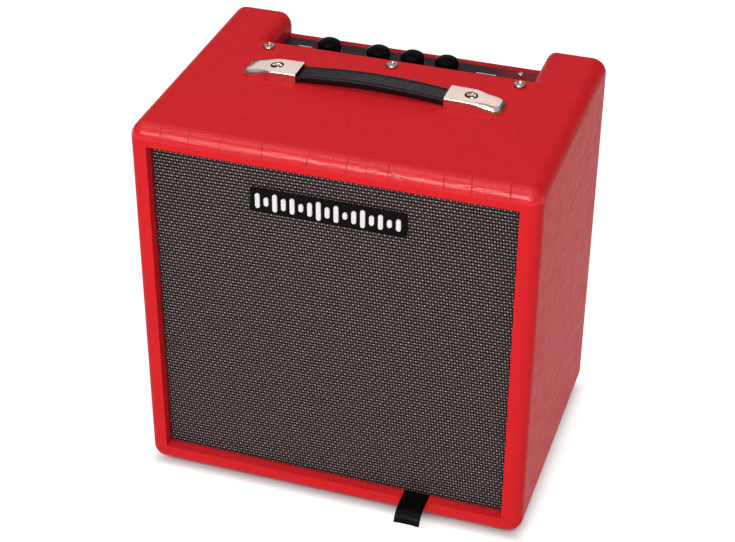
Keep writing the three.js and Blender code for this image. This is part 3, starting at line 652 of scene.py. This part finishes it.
def add_shell():
    """Inside faces behind the grille are bare board; the rest is vinyl."""
    shell = covered_shell()
    board = at(0, FRONT_BOARD_DEPTH, 0)
    work = bmesh.new()
    work.from_mesh(shell.data)
    geometry = work.verts[:] + work.edges[:] + work.faces[:]
    bmesh.ops.bisect_plane(work, geom=geometry, plane_co=board, plane_no=(0, 1, 0), dist=1e-6)
    work.to_mesh(shell.data)
    work.free()
    boards = ("side_panel_left", "side_panel_right", "top_panel", "bottom_panel")
    dressed(shell, "vinyl", "vinyl", *boards)
    shell.data.materials.append(LOOKS["plywood"])
    margin = 0.2
    inner = (OPENING_HALF + margin) * MM
    low, high = at(0, 0, BOTTOM_BOARD - margin).z, at(0, 0, PANEL_TOP - 20).z
    for face in shell.data.polygons:
        x, y, z = face.center
        inside = abs(x) < inner and y > board.y and low < z < high
        face.material_index = int(inside and abs(face.normal.y) < 0.5)
    crisp(sharpened(shell))


def add_rear_fasteners():
    """Cup-washered screws along the rear boards."""
    cup = [(0, 0.2), (2.2, 0.2), (2.6, 0.9), (5.2, 0.5), (6.2, 0.05), (6.2, -0.05), (0, -0.05)]
    head = [(0, 1.9), (1.0, 1.85), (2.2, 1.4), (2.9, 0.7), (3.0, 0.3), (2.2, 0.0), (0, 0.0)]
    places = [(side * 160, level) for side in (-1, 1) for level in (36, 85, 134, 231, 280)]
    places += [(-72, 30), (72, 30)]
    for i, (x, z) in enumerate(places):
        washer = lathe(f"cup_washer_{i}", cup, (x, DEPTH - 0.3, z), 32, "y")
        screw = lathe(f"rear_screw_{i}", head, (x, DEPTH, z), 24, "y")
        for piece in (washer, screw):
            dressed(piece, "nickel", "nickel")


def add_foot(node):
    low, high = cabinet_box(node)
    centre = (middle_of(node).x, middle_of(node).y, low.z)
    height = high.z - low.z
    profile = [(0, 1.6), (4.2, 1.6), (4.6, 0.5), (5.4, 0.0), (11.4, 0.0), (12.2, 0.5),
               (13.4, height - 1.6), (14.0, height - 0.6), (14.0, height), (0, height)]
    foot = lathe(f"rubber_{node}", profile, centre, 48)
    dressed(sharpened(foot, 50), "rubber", "rubber", node)


def add_cabinet():
    add_shell()
    for node in ("upper_back_panel", "lower_back_panel"):
        # The rear boards wear the darker copy of the vinyl, as painted shade.
        dress_node(node, "rear_vinyl_painted_shade", 1.2)
    dress_node("front_baffle", "black_board", 0.5)
    add_rear_fasteners()
    for corner in ("front_left", "front_right", "rear_left", "rear_right"):
        add_foot(f"foot_{corner}")


# ---- screws


def cross_screw(name, node, radius, height, top, look="screw"):
    """A domed head with a tapered cross recess, centred on a CAD screw's head."""
    centre = middle_of(node)
    base = top - height
    edge = 0.7
    profile = [(0, 0.05), (radius * 0.96, 0.05), (radius, 0.35)]
    profile += [(radius * u, edge + (height - edge) * v ** 0.9) for u, v in arc(0, 0, 1, 0, 81, 9)]
    profile.append((0, height))
    screw = lathe(name, profile, (centre.x, centre.y, base), 48)
    wings = []
    for order in (1, -1):
        rings = []
        for grow, level in ((0.35, height * 0.12), (1.15, height + 1.0)):
            half = (radius * 0.60 * grow, radius * 0.17 * (0.7 + 0.3 * grow))[::order]
            rings.append([(centre.x + i * half[0], centre.y + j * half[1], base + level)
                          for i, j in ((-1, -1), (1, -1), (1, 1), (-1, 1))])
        wings.append(skinned("wing", rings))
    carved(screw, *wings)
    dressed(sharpened(screw, 30), look, "nickel", node)


def add_screws():
    for side in ("left", "centre", "right"):
        cross_screw(f"domed_screw_{side}", f"chassis_screw_{side}", 6.0, 3.5, HEIGHT + 3.6)
    for side in ("left", "right"):
        top = cabinet_box(f"handle_screw_{side}")[1].z
        cross_screw(f"strap_screw_{side}", f"handle_screw_{side}", 4.8, 2.8, top, "aluminium")
    cross_screw("small_panel_screw", "panel_screw", 3.0, 2.2, PANEL_TOP + 2.3)


# ---- grille


def add_cloth():
    """One woven sheet, stretched over the frame's front and turned over its edges."""
    gap = Vector((0.2, 0, 0.2))
    low, high = cabinet_box("grille_cloth")
    low, high = low + gap, high - gap
    fold, depth = 2.0, 8.6
    levels = [(fold * (1 - cosine), fold * (1 - sine)) for cosine, sine in arc(0, 0, 1, 0, 90, 6)]
    levels.append((depth, 0.0))
    rings = []
    for y, inset in levels:
        outline = rounded_rectangle(low.x + inset, high.x - inset, low.z + inset, high.z - inset,
                                    2.6 - inset * 0.9, 6)
        rings.append([(u, low.y + y, v) for u, v in outline])
    cloth = crisp(sharpened(skinned("woven_grille_cloth", rings, open_end=True), 60))
    dressed(cloth, "weave", "grille_cloth", "grille_cloth", body="grille")


def add_badge():
    """A black plate with plain raised white bars."""
    low, high = cabinet_box("badge_plate")
    backing = plate("badge_backing_plate", rounded_rectangle(low.x, high.x, low.z, high.z, 3.0, 6),
                    high.y - 2.0, high.y)
    dressed(crisp(sharpened(backing), 0.5), "backing", "badge", "badge_plate", body="grille")
    heights = (15, 9, 18, 12, 16, 8, 14, 19, 11, 17, 7, 13, 18, 10, 15, 8, 12)
    centre, middle = (low.x + high.x) / 2, (low.z + high.z) / 2
    pitch = (high.x - low.x - 7) / len(heights)
    half = pitch * 0.27
    for i, tall in enumerate(heights):
        x = centre + (i - (len(heights) - 1) / 2) * pitch
        outline = rounded_rectangle(x - half, x + half, middle - tall / 2, middle + tall / 2,
                                    half * 0.98, 5)
        bar = plate(f"badge_bar_{i}", outline, low.y, high.y - 1.6)
        dressed(crisp(sharpened(bar), 0.3), "white", "badge", body="grille")


def add_pull_tab():
    """A doubled ribbon that comes out under the cloth, reaches over the lip and curls down."""
    low, high = cabinet_box("pull_tab")
    route = spline([(16.5, 20.75), (4, 20.75), (-8, 20.6), (-16.5, 19.2), (-22.6, 15.6),
                    (-25.6, 10.4)], 7)
    steps = len(route) - 1
    spread = [0.22 + 0.75 * smooth_step(j / steps) for j in range(steps + 1)]
    columns = 14
    rings = []
    for i in range(columns + 1):
        across = i / columns
        crown = 0.7 * (1 - (2 * across - 1) ** 2)
        bowed = [(y, z + crown * smooth_step((4 - y) / 20)) for y, z in route]
        upper = [offset_point(bowed, j, apart) for j, apart in enumerate(spread)]
        lower = [offset_point(bowed, j, -apart) for j, apart in enumerate(spread)]
        line = [*upper, *turn_round(upper[-1], lower[-1], 7), *lower[::-1]]
        outside, inside = ([offset_point(line, j, half) for j in range(len(line))]
                           for half in (0.15, -0.15))
        x = low.x + (high.x - low.x) * across
        rings.append([(x, y, z) for y, z in [*outside, *inside[::-1]]])
    ribbon = sharpened(skinned("satin_pull_tab", rings), 50)
    dressed(ribbon, "ribbon", "ribbon", "pull_tab", body="grille")


def smooth_step(value):
    value = min(max(value, 0.0), 1.0)
    return value * value * (3 - 2 * value)


def offset_point(line, i, distance):
    """A point of a 2-D line, moved to the line's left."""
    a, b = line[max(i - 1, 0)], line[min(i + 1, len(line) - 1)]
    along = Vector((b[0] - a[0], b[1] - a[1])).normalized()
    return (line[i][0] - along.y * distance, line[i][1] + along.x * distance)


def turn_round(start, end, steps):
    """A half circle of points between two points, the way a folded ribbon turns."""
    centre = Vector(((start[0] + end[0]) / 2, (start[1] + end[1]) / 2))
    arm = Vector(start) - centre
    return [tuple(centre + Matrix.Rotation(math.pi * i / steps, 2) @ arm) for i in range(1, steps)]


def spline(points, steps):
    """A Catmull-Rom curve through 2-D points."""
    padded = [points[0], *points, points[-1]]
    made = []
    for a, b, c, d in zip(padded, padded[1:], padded[2:], padded[3:]):
        for i in range(steps):
            t = i / steps
            made.append(tuple(
                0.5 * (2 * q + (r - p) * t + (2 * p - 5 * q + 4 * r - s) * t ** 2
                       + (3 * q - p - 3 * r + s) * t ** 3)
                for p, q, r, s in zip(a, b, c, d)))
    made.append(points[-1])
    return made


def add_grille():
    dress_node("grille_frame", "black_board", 0.8)
    add_cloth()
    add_badge()
    add_pull_tab()


# ---- handle

STRAP_CLEAR, STRAP_THICK, STRAP_RISE = 1.0, 6.0, 4.3
MOUTH, THROAT, NOSE, TIP, CAP_HALF, CAP_HEIGHT = 71.0, 85.0, 117.0, 124.8, 14.0, 10.6
STRAP_HALF, STRAP_END, HINGE = 11.8, 74.0, 30.3
CAP_CREST = [(71, 10.6), (84, 10.4), (95, 10.0), (104, 9.0), (114, 7.4), (119, 6.1), (122.5, 4.7),
             (124.8, 2.4)]
HANDLE_X = middle_of("strap_grip").x


def strap_level(x):
    along = min(abs(x) / MOUTH, 1.0)
    return HEIGHT + STRAP_CLEAR + STRAP_THICK / 2 + STRAP_RISE * (1 - along ** 2)


def strap_section():
    """(y, z) points round the strap: flat below, and five round ribs on top between two beads."""
    ribs, per_rib, depth = 5, 10, 2.0
    half, top = STRAP_HALF, STRAP_THICK / 2
    corner, bead = 1.4, 1.5
    section = [*arc(-half + corner, -top + corner, corner, 180, 270, 5),
               *arc(half - corner, -top + corner, corner, 270, 360, 5),
               *arc(half - bead, top - bead, bead, 0, 150, 10)]
    inner = half - 1.9 * bead
    for i in range(1, ribs * per_rib):
        y = inner - 2 * inner * i / (ribs * per_rib)
        across = 2 * (i % per_rib) / per_rib - 1
        section.append((y, top - depth * (1 - math.sqrt(1 - 0.96 * across ** 2))))
    section += arc(-half + bead, top - bead, bead, 30, 180, 10)
    return section


def add_strap_half(side, sign, *nodes):
    """Half of the strap, arched along its length and level where it runs into the cap."""
    centre_y = middle_of("strap_grip").y
    section = strap_section()
    stations, reach = 44, 0.05
    rings = []
    for i in range(stations + 1):
        x = STRAP_END * i / stations
        slope = (strap_level(x + reach) - strap_level(x - reach)) / (2 * reach)
        lean = math.atan(slope) if i else 0.0
        rings.append([(HANDLE_X + sign * (x - z * math.sin(lean)), centre_y + y,
                       strap_level(x) + z * math.cos(lean)) for y, z in section])
    half = painted(sharpened(skinned(f"ribbed_strap_{side}", rings), 42), "strap")
    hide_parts(*nodes)
    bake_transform(half)


def cap_ring(x, half, height, corner):
    """A cap's section: upright walls, rounded shoulders and a slightly crowned top."""
    crown = 0.2
    foot, shoulder, span = 0.25, height - crown - corner, half - corner
    ring = [(x, half, foot)]
    ring += [(x, u, v) for u, v in arc(span, shoulder, corner, 0, 84, 8)]
    for i in range(1, 8):
        y = span * (1 - i / 4)
        ring.append((x, y, height - crown * (y / max(span, 0.1)) ** 2))
    ring += [(x, u, v) for u, v in arc(-span, shoulder, corner, 96, 180, 8)]
    ring.append((x, -half, foot))
    return ring


def cap_rings(sign, centre_y):
    """Wide square mouth, a slight waist, and a rounded nose that slopes down."""
    stations = [MOUTH, MOUTH + 0.25, MOUTH + 0.7] + [MOUTH + 1 + i * 1.2 for i in range(40)]
    stations += [TIP - 4 + 0.5 * i for i in range(8)] + [TIP - 0.2, TIP - 0.05]
    crest = spline(CAP_CREST, 12)
    rings = []
    for x in sorted(set(stations)):
        waist = smooth_step((x - 96) / 8)
        nose = max(x - NOSE, 0.0) / (TIP - NOSE)
        half = CAP_HALF - 0.7 * waist - (TIP - NOSE) * (1 - math.sqrt(max(1 - nose ** 2, 0.0)))
        height = next((z0 + (z1 - z0) * (x - x0) / (x1 - x0)
                       for (x0, z0), (x1, z1) in zip(crest, crest[1:]) if x <= x1), crest[-1][1])
        edge = max(MOUTH + 0.7 - x, 0.0)
        corner = min(1.8 + 2.8 * smooth_step((x - 97) / 12), height * 0.8, half * 0.8)
        ring = cap_ring(x, half - 0.5 * edge, height - 0.5 * edge, corner)
        rings.append([(HANDLE_X + sign * u, centre_y + v, HEIGHT + w) for u, v, w in ring])
    return rings


def add_cap(side, sign):
    """A pressed cap with a throat for the strap, and a screw well with a dark ring as painted shade."""
    node = f"handle_cap_{side}"
    centre_y = middle_of(node).y
    screw = (middle_of(f"handle_screw_{side}").x, centre_y, HEIGHT)
    cap = skinned(f"nickel_cap_{side}", cap_rings(sign, centre_y))
    throat_x = sorted((HANDLE_X + sign * (MOUTH - 3), HANDLE_X + sign * THROAT))
    throat_half = STRAP_HALF + 0.3
    throat = block("throat", *throat_x, centre_y - throat_half, centre_y + throat_half,
                   HEIGHT - 3, HEIGHT + CAP_HEIGHT - 0.9)
    well = [(0, 4.1), (6.2, 4.1), (6.2, 8.9), (6.4, 9.7), (7.0, 13.0), (0, 13.0)]
    carved(cap, throat, lathe("well", well, screw, 48))
    dressed(crisp(sharpened(cap, 38)), "nickel", "nickel", node)
    # Painted shade: a dark ring set in the screw's well.
    shade_ring = [(4.9, 4.15), (6.15, 4.15), (6.15, 6.2), (5.95, 6.2), (5.6, 5.0), (4.9, 4.8), (4.9, 4.15)]
    well_shade = lathe(f"cap_well_painted_shade_{side}", shade_ring, screw, 48)
    dressed(sharpened(well_shade), "plastic", "plastic")


def add_handle():
    add_strap_half("left", -1, "strap_left", "strap_grip")
    add_strap_half("right", 1, "strap_right")
    add_cap("left", -1)
    add_cap("right", 1)


# ---- controls

FLUTES = 40
RULES = ((-114, -100, 241), (-114, -106, 237), (68, 88, 241), (68, 80, 237))


def add_knob(name):
    """A satin dome on a fluted skirt, with a thin pale pointer on its far side."""
    node, body = f"{name}_knob", f"{name}_control"
    low, high = cabinet_box(node)
    x, y, _ = middle_of(node)
    radius = (high.x - low.x) / 2
    top = high.z - PANEL_TOP
    rim, base = top - 4.5, top - 17.6
    crown = radius - 0.7

    def flute(angle, reach, height):
        if reach < radius - 0.65 or height > rim - 0.1:
            return 0.0
        fade = smooth_step((rim - height) / 1.2)
        return -0.55 * fade * (0.5 + 0.5 * math.cos(FLUTES * angle)) ** 2

    def dome(reach):
        return top - (top - rim - 0.4) * (reach / crown) ** 2.1

    profile = [(0, base + 6), (9.4, base + 6), (9.6, base + 0.2), (radius - 0.6, base),
               (radius, base + 0.5), (radius, base + 3)]
    profile += [(radius, rim - drop) for drop in (2.4, 1.4, 0.8, 0.35)]
    profile += [(radius - 0.12, rim - 0.05), (radius - 0.4, rim + 0.16)]
    profile += [(crown * (1 - i / 13), dome(crown * (1 - i / 13))) for i in range(14)]
    made = lathe(f"domed_{name}_knob", profile, (x, y, PANEL_TOP), FLUTES * 6, wave=flute)
    dressed(sharpened(made, 48), "knob", "plastic", node, body=body)
    start, half = 5.0, 0.45
    rings = []
    for i in range(13):
        reach = start + (crown - start) * i / 12
        level = PANEL_TOP + dome(reach)
        rings.append([(x + dx, y + reach, level + dz)
                      for dx, dz in ((-half, -0.15), (half, -0.15), (half, 0.05), (-half, 0.05))])
    pointer = sharpened(skinned(f"{name}_pointer", rings))
    dressed(pointer, "white", "badge", body=body)
    shaft = [(0, -8), (3.0, -8), (3.0, base + 6.2), (0, base + 6.2)]
    stem = sharpened(lathe(f"{name}_shaft", shaft, (x, y, PANEL_TOP), 32))
    dressed(stem, "brass", "steel", body=body)


def dial_place(name, mark, reach, aside=0.0):
    """A place at a knob's mark from 0 to 10, reach away from its middle."""
    angle = math.radians(240 - 30 * mark)
    centre = middle_of(f"{name}_knob")
    return (centre.x + reach * math.cos(angle) - aside * math.sin(angle),
            centre.y + reach * math.sin(angle) + aside * math.cos(angle))


def add_ticks():
    """Ticks round each knob, and plain rules, in raised white ink."""
    quads = [[(x0, y - 0.5), (x1, y - 0.5), (x1, y + 0.5), (x0, y + 0.5)] for x0, x1, y in RULES]
    for name in KNOBS:
        for mark in range(11):
            quads.append([dial_place(name, mark, reach, aside) for reach, aside in
                          ((12.3, -0.22), (12.3, 0.22), (13.6, 0.22), (13.6, -0.22))])
    level, ink = PANEL_TOP + 0.06, 0.05
    points, faces = [], []
    for corners in quads:
        a = len(points)
        points += [(x, y, z) for z in (level, level - ink) for x, y in corners]
        faces += [(a, a + 1, a + 2, a + 3), (a + 7, a + 6, a + 5, a + 4)]
        faces += [(a + (i + 1) % 4, a + i, a + 4 + i, a + 4 + (i + 1) % 4) for i in range(4)]
    ticks = piece_from("panel_ticks", points, faces)
    ticks.data.shade_flat()
    dressed(ticks, "white", "badge")


def add_number(name, text, x, y):
    letters = bpy.data.curves.new(name, "FONT")
    letters.body = text
    letters.size = 2.9 * MM
    letters.align_x = letters.align_y = "CENTER"
    letters.extrude = 0.03 * MM
    letters.resolution_u = 3
    drawn = placed(name + "_curve", letters)
    drawn.location = at(x, y, PANEL_TOP + 0.04)
    bpy.context.view_layer.update()
    mesh = evaluated_mesh(drawn)
    mesh.transform(drawn.matrix_world)
    bpy.data.objects.remove(drawn)
    dressed(placed(name, mesh), "white", "badge")


def add_nickel_ring(name, profile, centre, segments, angle):
    ring = lathe(name, profile, centre, segments)
    dressed(sharpened(ring, angle), "nickel", "nickel")


def add_hex_nut(name, x, y, across, bore, height):
    """A chamfered hexagon nut round a bush."""
    profile = [(bore, 0), (across * 0.97, 0), (across, 0.25), (across, height - 0.3),
               (across * 0.93, height), (bore, height), (bore, 0)]
    add_nickel_ring(name, profile, (x, y, PANEL_TOP + 0.1), 6, 20)


def add_bush(name, x, y, outer, inner, height):
    turns = [(inner, -1.0), (outer, -1.0)]
    turns += [(outer - (0.0 if i % 2 else 0.25), 0.1 + i * (height - 0.3) / 10) for i in range(11)]
    turns += [(outer - 0.4, height), (inner + 0.3, height), (inner, height - 0.3), (inner, -1.0)]
    add_nickel_ring(name, turns, (x, y, PANEL_TOP), 40, 30)


def add_socket(name, nut, bush):
    """A nut of (across, bore, height) round a threaded bush of (outer, inner, height)."""
    node = f"{name}_jack"
    x, y, _ = middle_of(node)
    add_hex_nut(f"{name}_nut", x, y, *nut)
    add_bush(f"{name}_bush", x, y, *bush)
    dress_node(node, "plastic")


def add_button():
    x, y, _ = middle_of("voicing_button")
    profile = [(0, -6.2), (3.7, -6.2), (3.9, -6.0), (3.9, 4.6), (3.7, 5.0), (3.2, 5.2), (0, 5.0)]
    button = sharpened(lathe("round_button", profile, (x, y, PANEL_TOP), 40), 40)
    dressed(button, "knob", "plastic", "voicing_button", body="button")


def add_lamp():
    """A red domed lens in a nickel bezel."""
    x, y, _ = middle_of("power_lamp")
    bezel = [(2.5, 0.0), (3.6, 0.0), (3.6, 0.5), (3.2, 0.9), (2.5, 0.9), (2.5, 0.0)]
    add_nickel_ring("lamp_bezel", bezel, (x, y, PANEL_TOP + 0.05), 40, SHARP_ANGLE)
    profile = [(0, -6), (2.4, -6), (2.4, 1.0)]
    profile += [(2.4 * u, 1.0 + 2.0 * v) for u, v in arc(0, 0, 1, 15, 75, 4)]
    profile.append((0, 3.0))
    lens = sharpened(lathe("lamp_lens", profile, (x, y, PANEL_TOP), 32), 50)
    dressed(lens, "lamp", "lamp", "power_lamp")


def add_controls():
    dress_node("control_panel", "panel", 0.25)
    dress_node("chassis_tray", "zinc", 0.3)
    for name in KNOBS:
        add_knob(name)
        dress_node(f"{name}_potentiometer", "zinc")
    add_ticks()
    for name in KNOBS:
        for mark in range(0, 11, 2):
            add_number(f"{name}_number_{mark}", str(mark), *dial_place(name, mark, 15.6))
    add_socket("input", (8.0, 4.9, 2.7), (4.85, 3.3, 4.4))
    add_socket("phones", (5.0, 3.4, 1.9), (3.4, 1.85, 3.0))
    add_button()
    add_lamp()
    for node, look in (("voicing_switch", "plastic"), ("circuit_board", "circuit"),
                       ("filter_capacitor", "plastic"), ("transformer_core", "zinc"),
                       ("transformer_coil", "copper"), ("heatsink", "aluminium")):
        dress_node(node, look)


def add_rear_sockets():
    for node in ("mains_inlet", "power_switch_housing", "power_rocker"):
        dress_node(node, "plastic", 0.35)
    inlet = middle_of("mains_inlet")
    for i, (offset, lift) in enumerate(((-7, -1.5), (0, 2), (7, -1.5))):
        x, z = inlet.x + offset, inlet.z + lift
        pin = block(f"inlet_pin_{i}", x - 1.1, x + 1.1, 240.9, 253.0, z - 2.1, z + 2.1)
        dressed(crisp(sharpened(pin), 0.5), "brass", "steel")


# ---- loudspeaker

CONE_EDGE, CONE_NECK = 91.7, 27.0
SPOKES = 8


def cone_depth(radius):
    along = (CONE_EDGE - radius) / (CONE_EDGE - CONE_NECK)
    return 3.0 + 41.0 * along ** 1.15


def two_sided(line, thick):
    """A closed profile: a line of (radius, depth) points, and the same line further back."""
    back = [(radius, depth + thick) for radius, depth in reversed(line)]
    return [*line, *back, line[0]]


def add_turning(name, node, profile, look, slot, angle=40.0, **riding):
    """A piece turned about the loudspeaker's axis, which stands for one CAD node."""
    made = lathe(name, profile, (0, BAFFLE_BACK, SPEAKER_HEIGHT), 96, "y")
    dressed(sharpened(made, angle), look, slot, node, **riding)


def add_cone():
    """A cone with shallow rings outside its middle, and a dust cap over its neck."""
    cone = []
    for i in range(25):
        radius = CONE_EDGE + (CONE_NECK - CONE_EDGE) * i / 24
        ripple = 0.35 * math.sin(radius * 0.9) if radius > 60 else 0.0
        cone.append((radius, cone_depth(radius) - 0.4 + ripple))
    body = "cone_assembly"
    add_turning("paper_cone", "speaker_cone", two_sided(cone, 0.8), "paper", "paper", body=body)
    rim = cone_depth(32) - 1.5
    dome = [(32 * i / 12, rim - 10 * (1 - (i / 12) ** 2)) for i in range(13)]
    under = [(radius, depth + 0.8) for radius, depth in reversed(dome)]
    add_turning("felt_dust_cap", "speaker_dust_cap", [*dome, *under], "paper", "paper", 60, body=body)


def add_surround():
    """A doped cloth surround with a rippled roll, behind a fibre gasket."""
    roll = [(92.3, 3.2)]
    for i in range(1, 24):
        angle = math.radians(180 * i / 24)
        wave = 0.8 * math.cos(angle * 3)
        roll.append((102 - 9.7 * math.cos(angle), 2.6 - 5.2 * math.sin(angle) + wave))
    roll += [(112, 2.5), (129, 2.5)]
    add_turning("doped_surround", "speaker_surround", two_sided(roll, 0.55), "doped", "paper")
    gasket = [(116, 0.3), (129, 0.3), (129, 2.2), (116, 2.2), (116, 0.3)]
    add_turning("fibre_gasket", "speaker_gasket", gasket, "fibre", "paper")


def add_spider():
    spider = [(26 + i, 56.9 + 0.75 * math.sin((26 + i) * 1.35)) for i in range(41)]
    add_turning("corrugated_spider", "speaker_spider", two_sided(spider, 0.6), "spider", "paper")


def add_magnet():
    top_plate = [(26.8, 63.9), (59.2, 63.9), (60, 64.6), (60, 69.2), (59.2, 69.9), (26.8, 69.9),
                 (26.8, 63.9)]
    magnet = [(32, 70.2), (60, 70.2), (61, 71.2), (61, 85.2), (60, 86.2), (32, 86.2), (32, 70.2)]
    back_plate = [(0, 64), (23.6, 64), (23.6, 86.5), (57, 86.5), (58, 87.5), (58, 91.4), (57, 92.5),
                  (11, 92.5), (10, 91.6), (8, 91.6), (7, 92.5), (0, 92.5)]
    add_turning("top_plate", "magnet_top_plate", top_plate, "zinc", "steel")
    add_turning("ring_magnet", "speaker_magnet", magnet, "ferrite", "ferrite")
    add_turning("back_plate", "magnet_back_plate", back_plate, "zinc", "steel")


def basket_window(i):
    """A cutter for the opening between two spokes, which widens outwards."""
    middle, spread = (i + 0.5) * 360 / SPOKES, 15
    start, end = middle - spread, middle + spread
    outline = arc(0, SPEAKER_HEIGHT, 50, start, end, 4) + arc(0, SPEAKER_HEIGHT, 135, end, start, 4)
    return plate("window", outline, BAFFLE_BACK + 14, BAFFLE_BACK + 56)


def add_basket():
    """A pressed frame: rolled rim, spokes with windows between them, and a flat back ring."""
    profile = [(110.8, 3.3), (128.6, 3.3), (129.5, 3.9), (129.5, 4.4), (128.8, 4.9), (114.0, 4.9),
               (112.6, 5.6), (111.2, 9), (106, 14.8), (67, 60.5), (65.4, 62.4), (63, 63.6), (28, 63.6),
               (28, 62.1), (62.2, 62.1), (64.2, 61.2), (65.6, 59.6), (104.4, 14.4), (109.7, 8.4),
               (110.8, 3.3)]
    basket = lathe("pressed_basket", profile, (0, BAFFLE_BACK, SPEAKER_HEIGHT), 96, "y")
    carved(basket, *(basket_window(i) for i in range(SPOKES)))
    dressed(crisp(sharpened(basket, 35)), "powder", "painted_steel", "speaker_basket")
    bolt = [(0, 9.5), (2.2, 9.5), (2.5, 9.2), (2.5, 8.6), (4.6, 8.4), (4.9, 8.0), (4.9, 5.0), (0, 5.0)]
    for i in range(SPOKES):
        angle = math.radians(i * 360 / SPOKES)
        x, z = 122.5 * math.cos(angle), SPEAKER_HEIGHT + 122.5 * math.sin(angle)
        nut = lathe(f"speaker_nut_{i}", bolt, (x, BAFFLE_BACK, z), 24, "y")
        dressed(sharpened(nut), "zinc", "steel")


def add_speaker():
    add_cone()
    add_surround()
    add_basket()
    add_spider()
    dress_node("voice_coil", "copper")
    add_magnet()
    dress_node("speaker_terminal", "fibre")


# ---- everything

add_camera()
add_floor()
add_studio()
add_cabinet()
add_screws()
add_grille()
add_handle()
add_controls()
add_rear_sockets()
add_speaker()
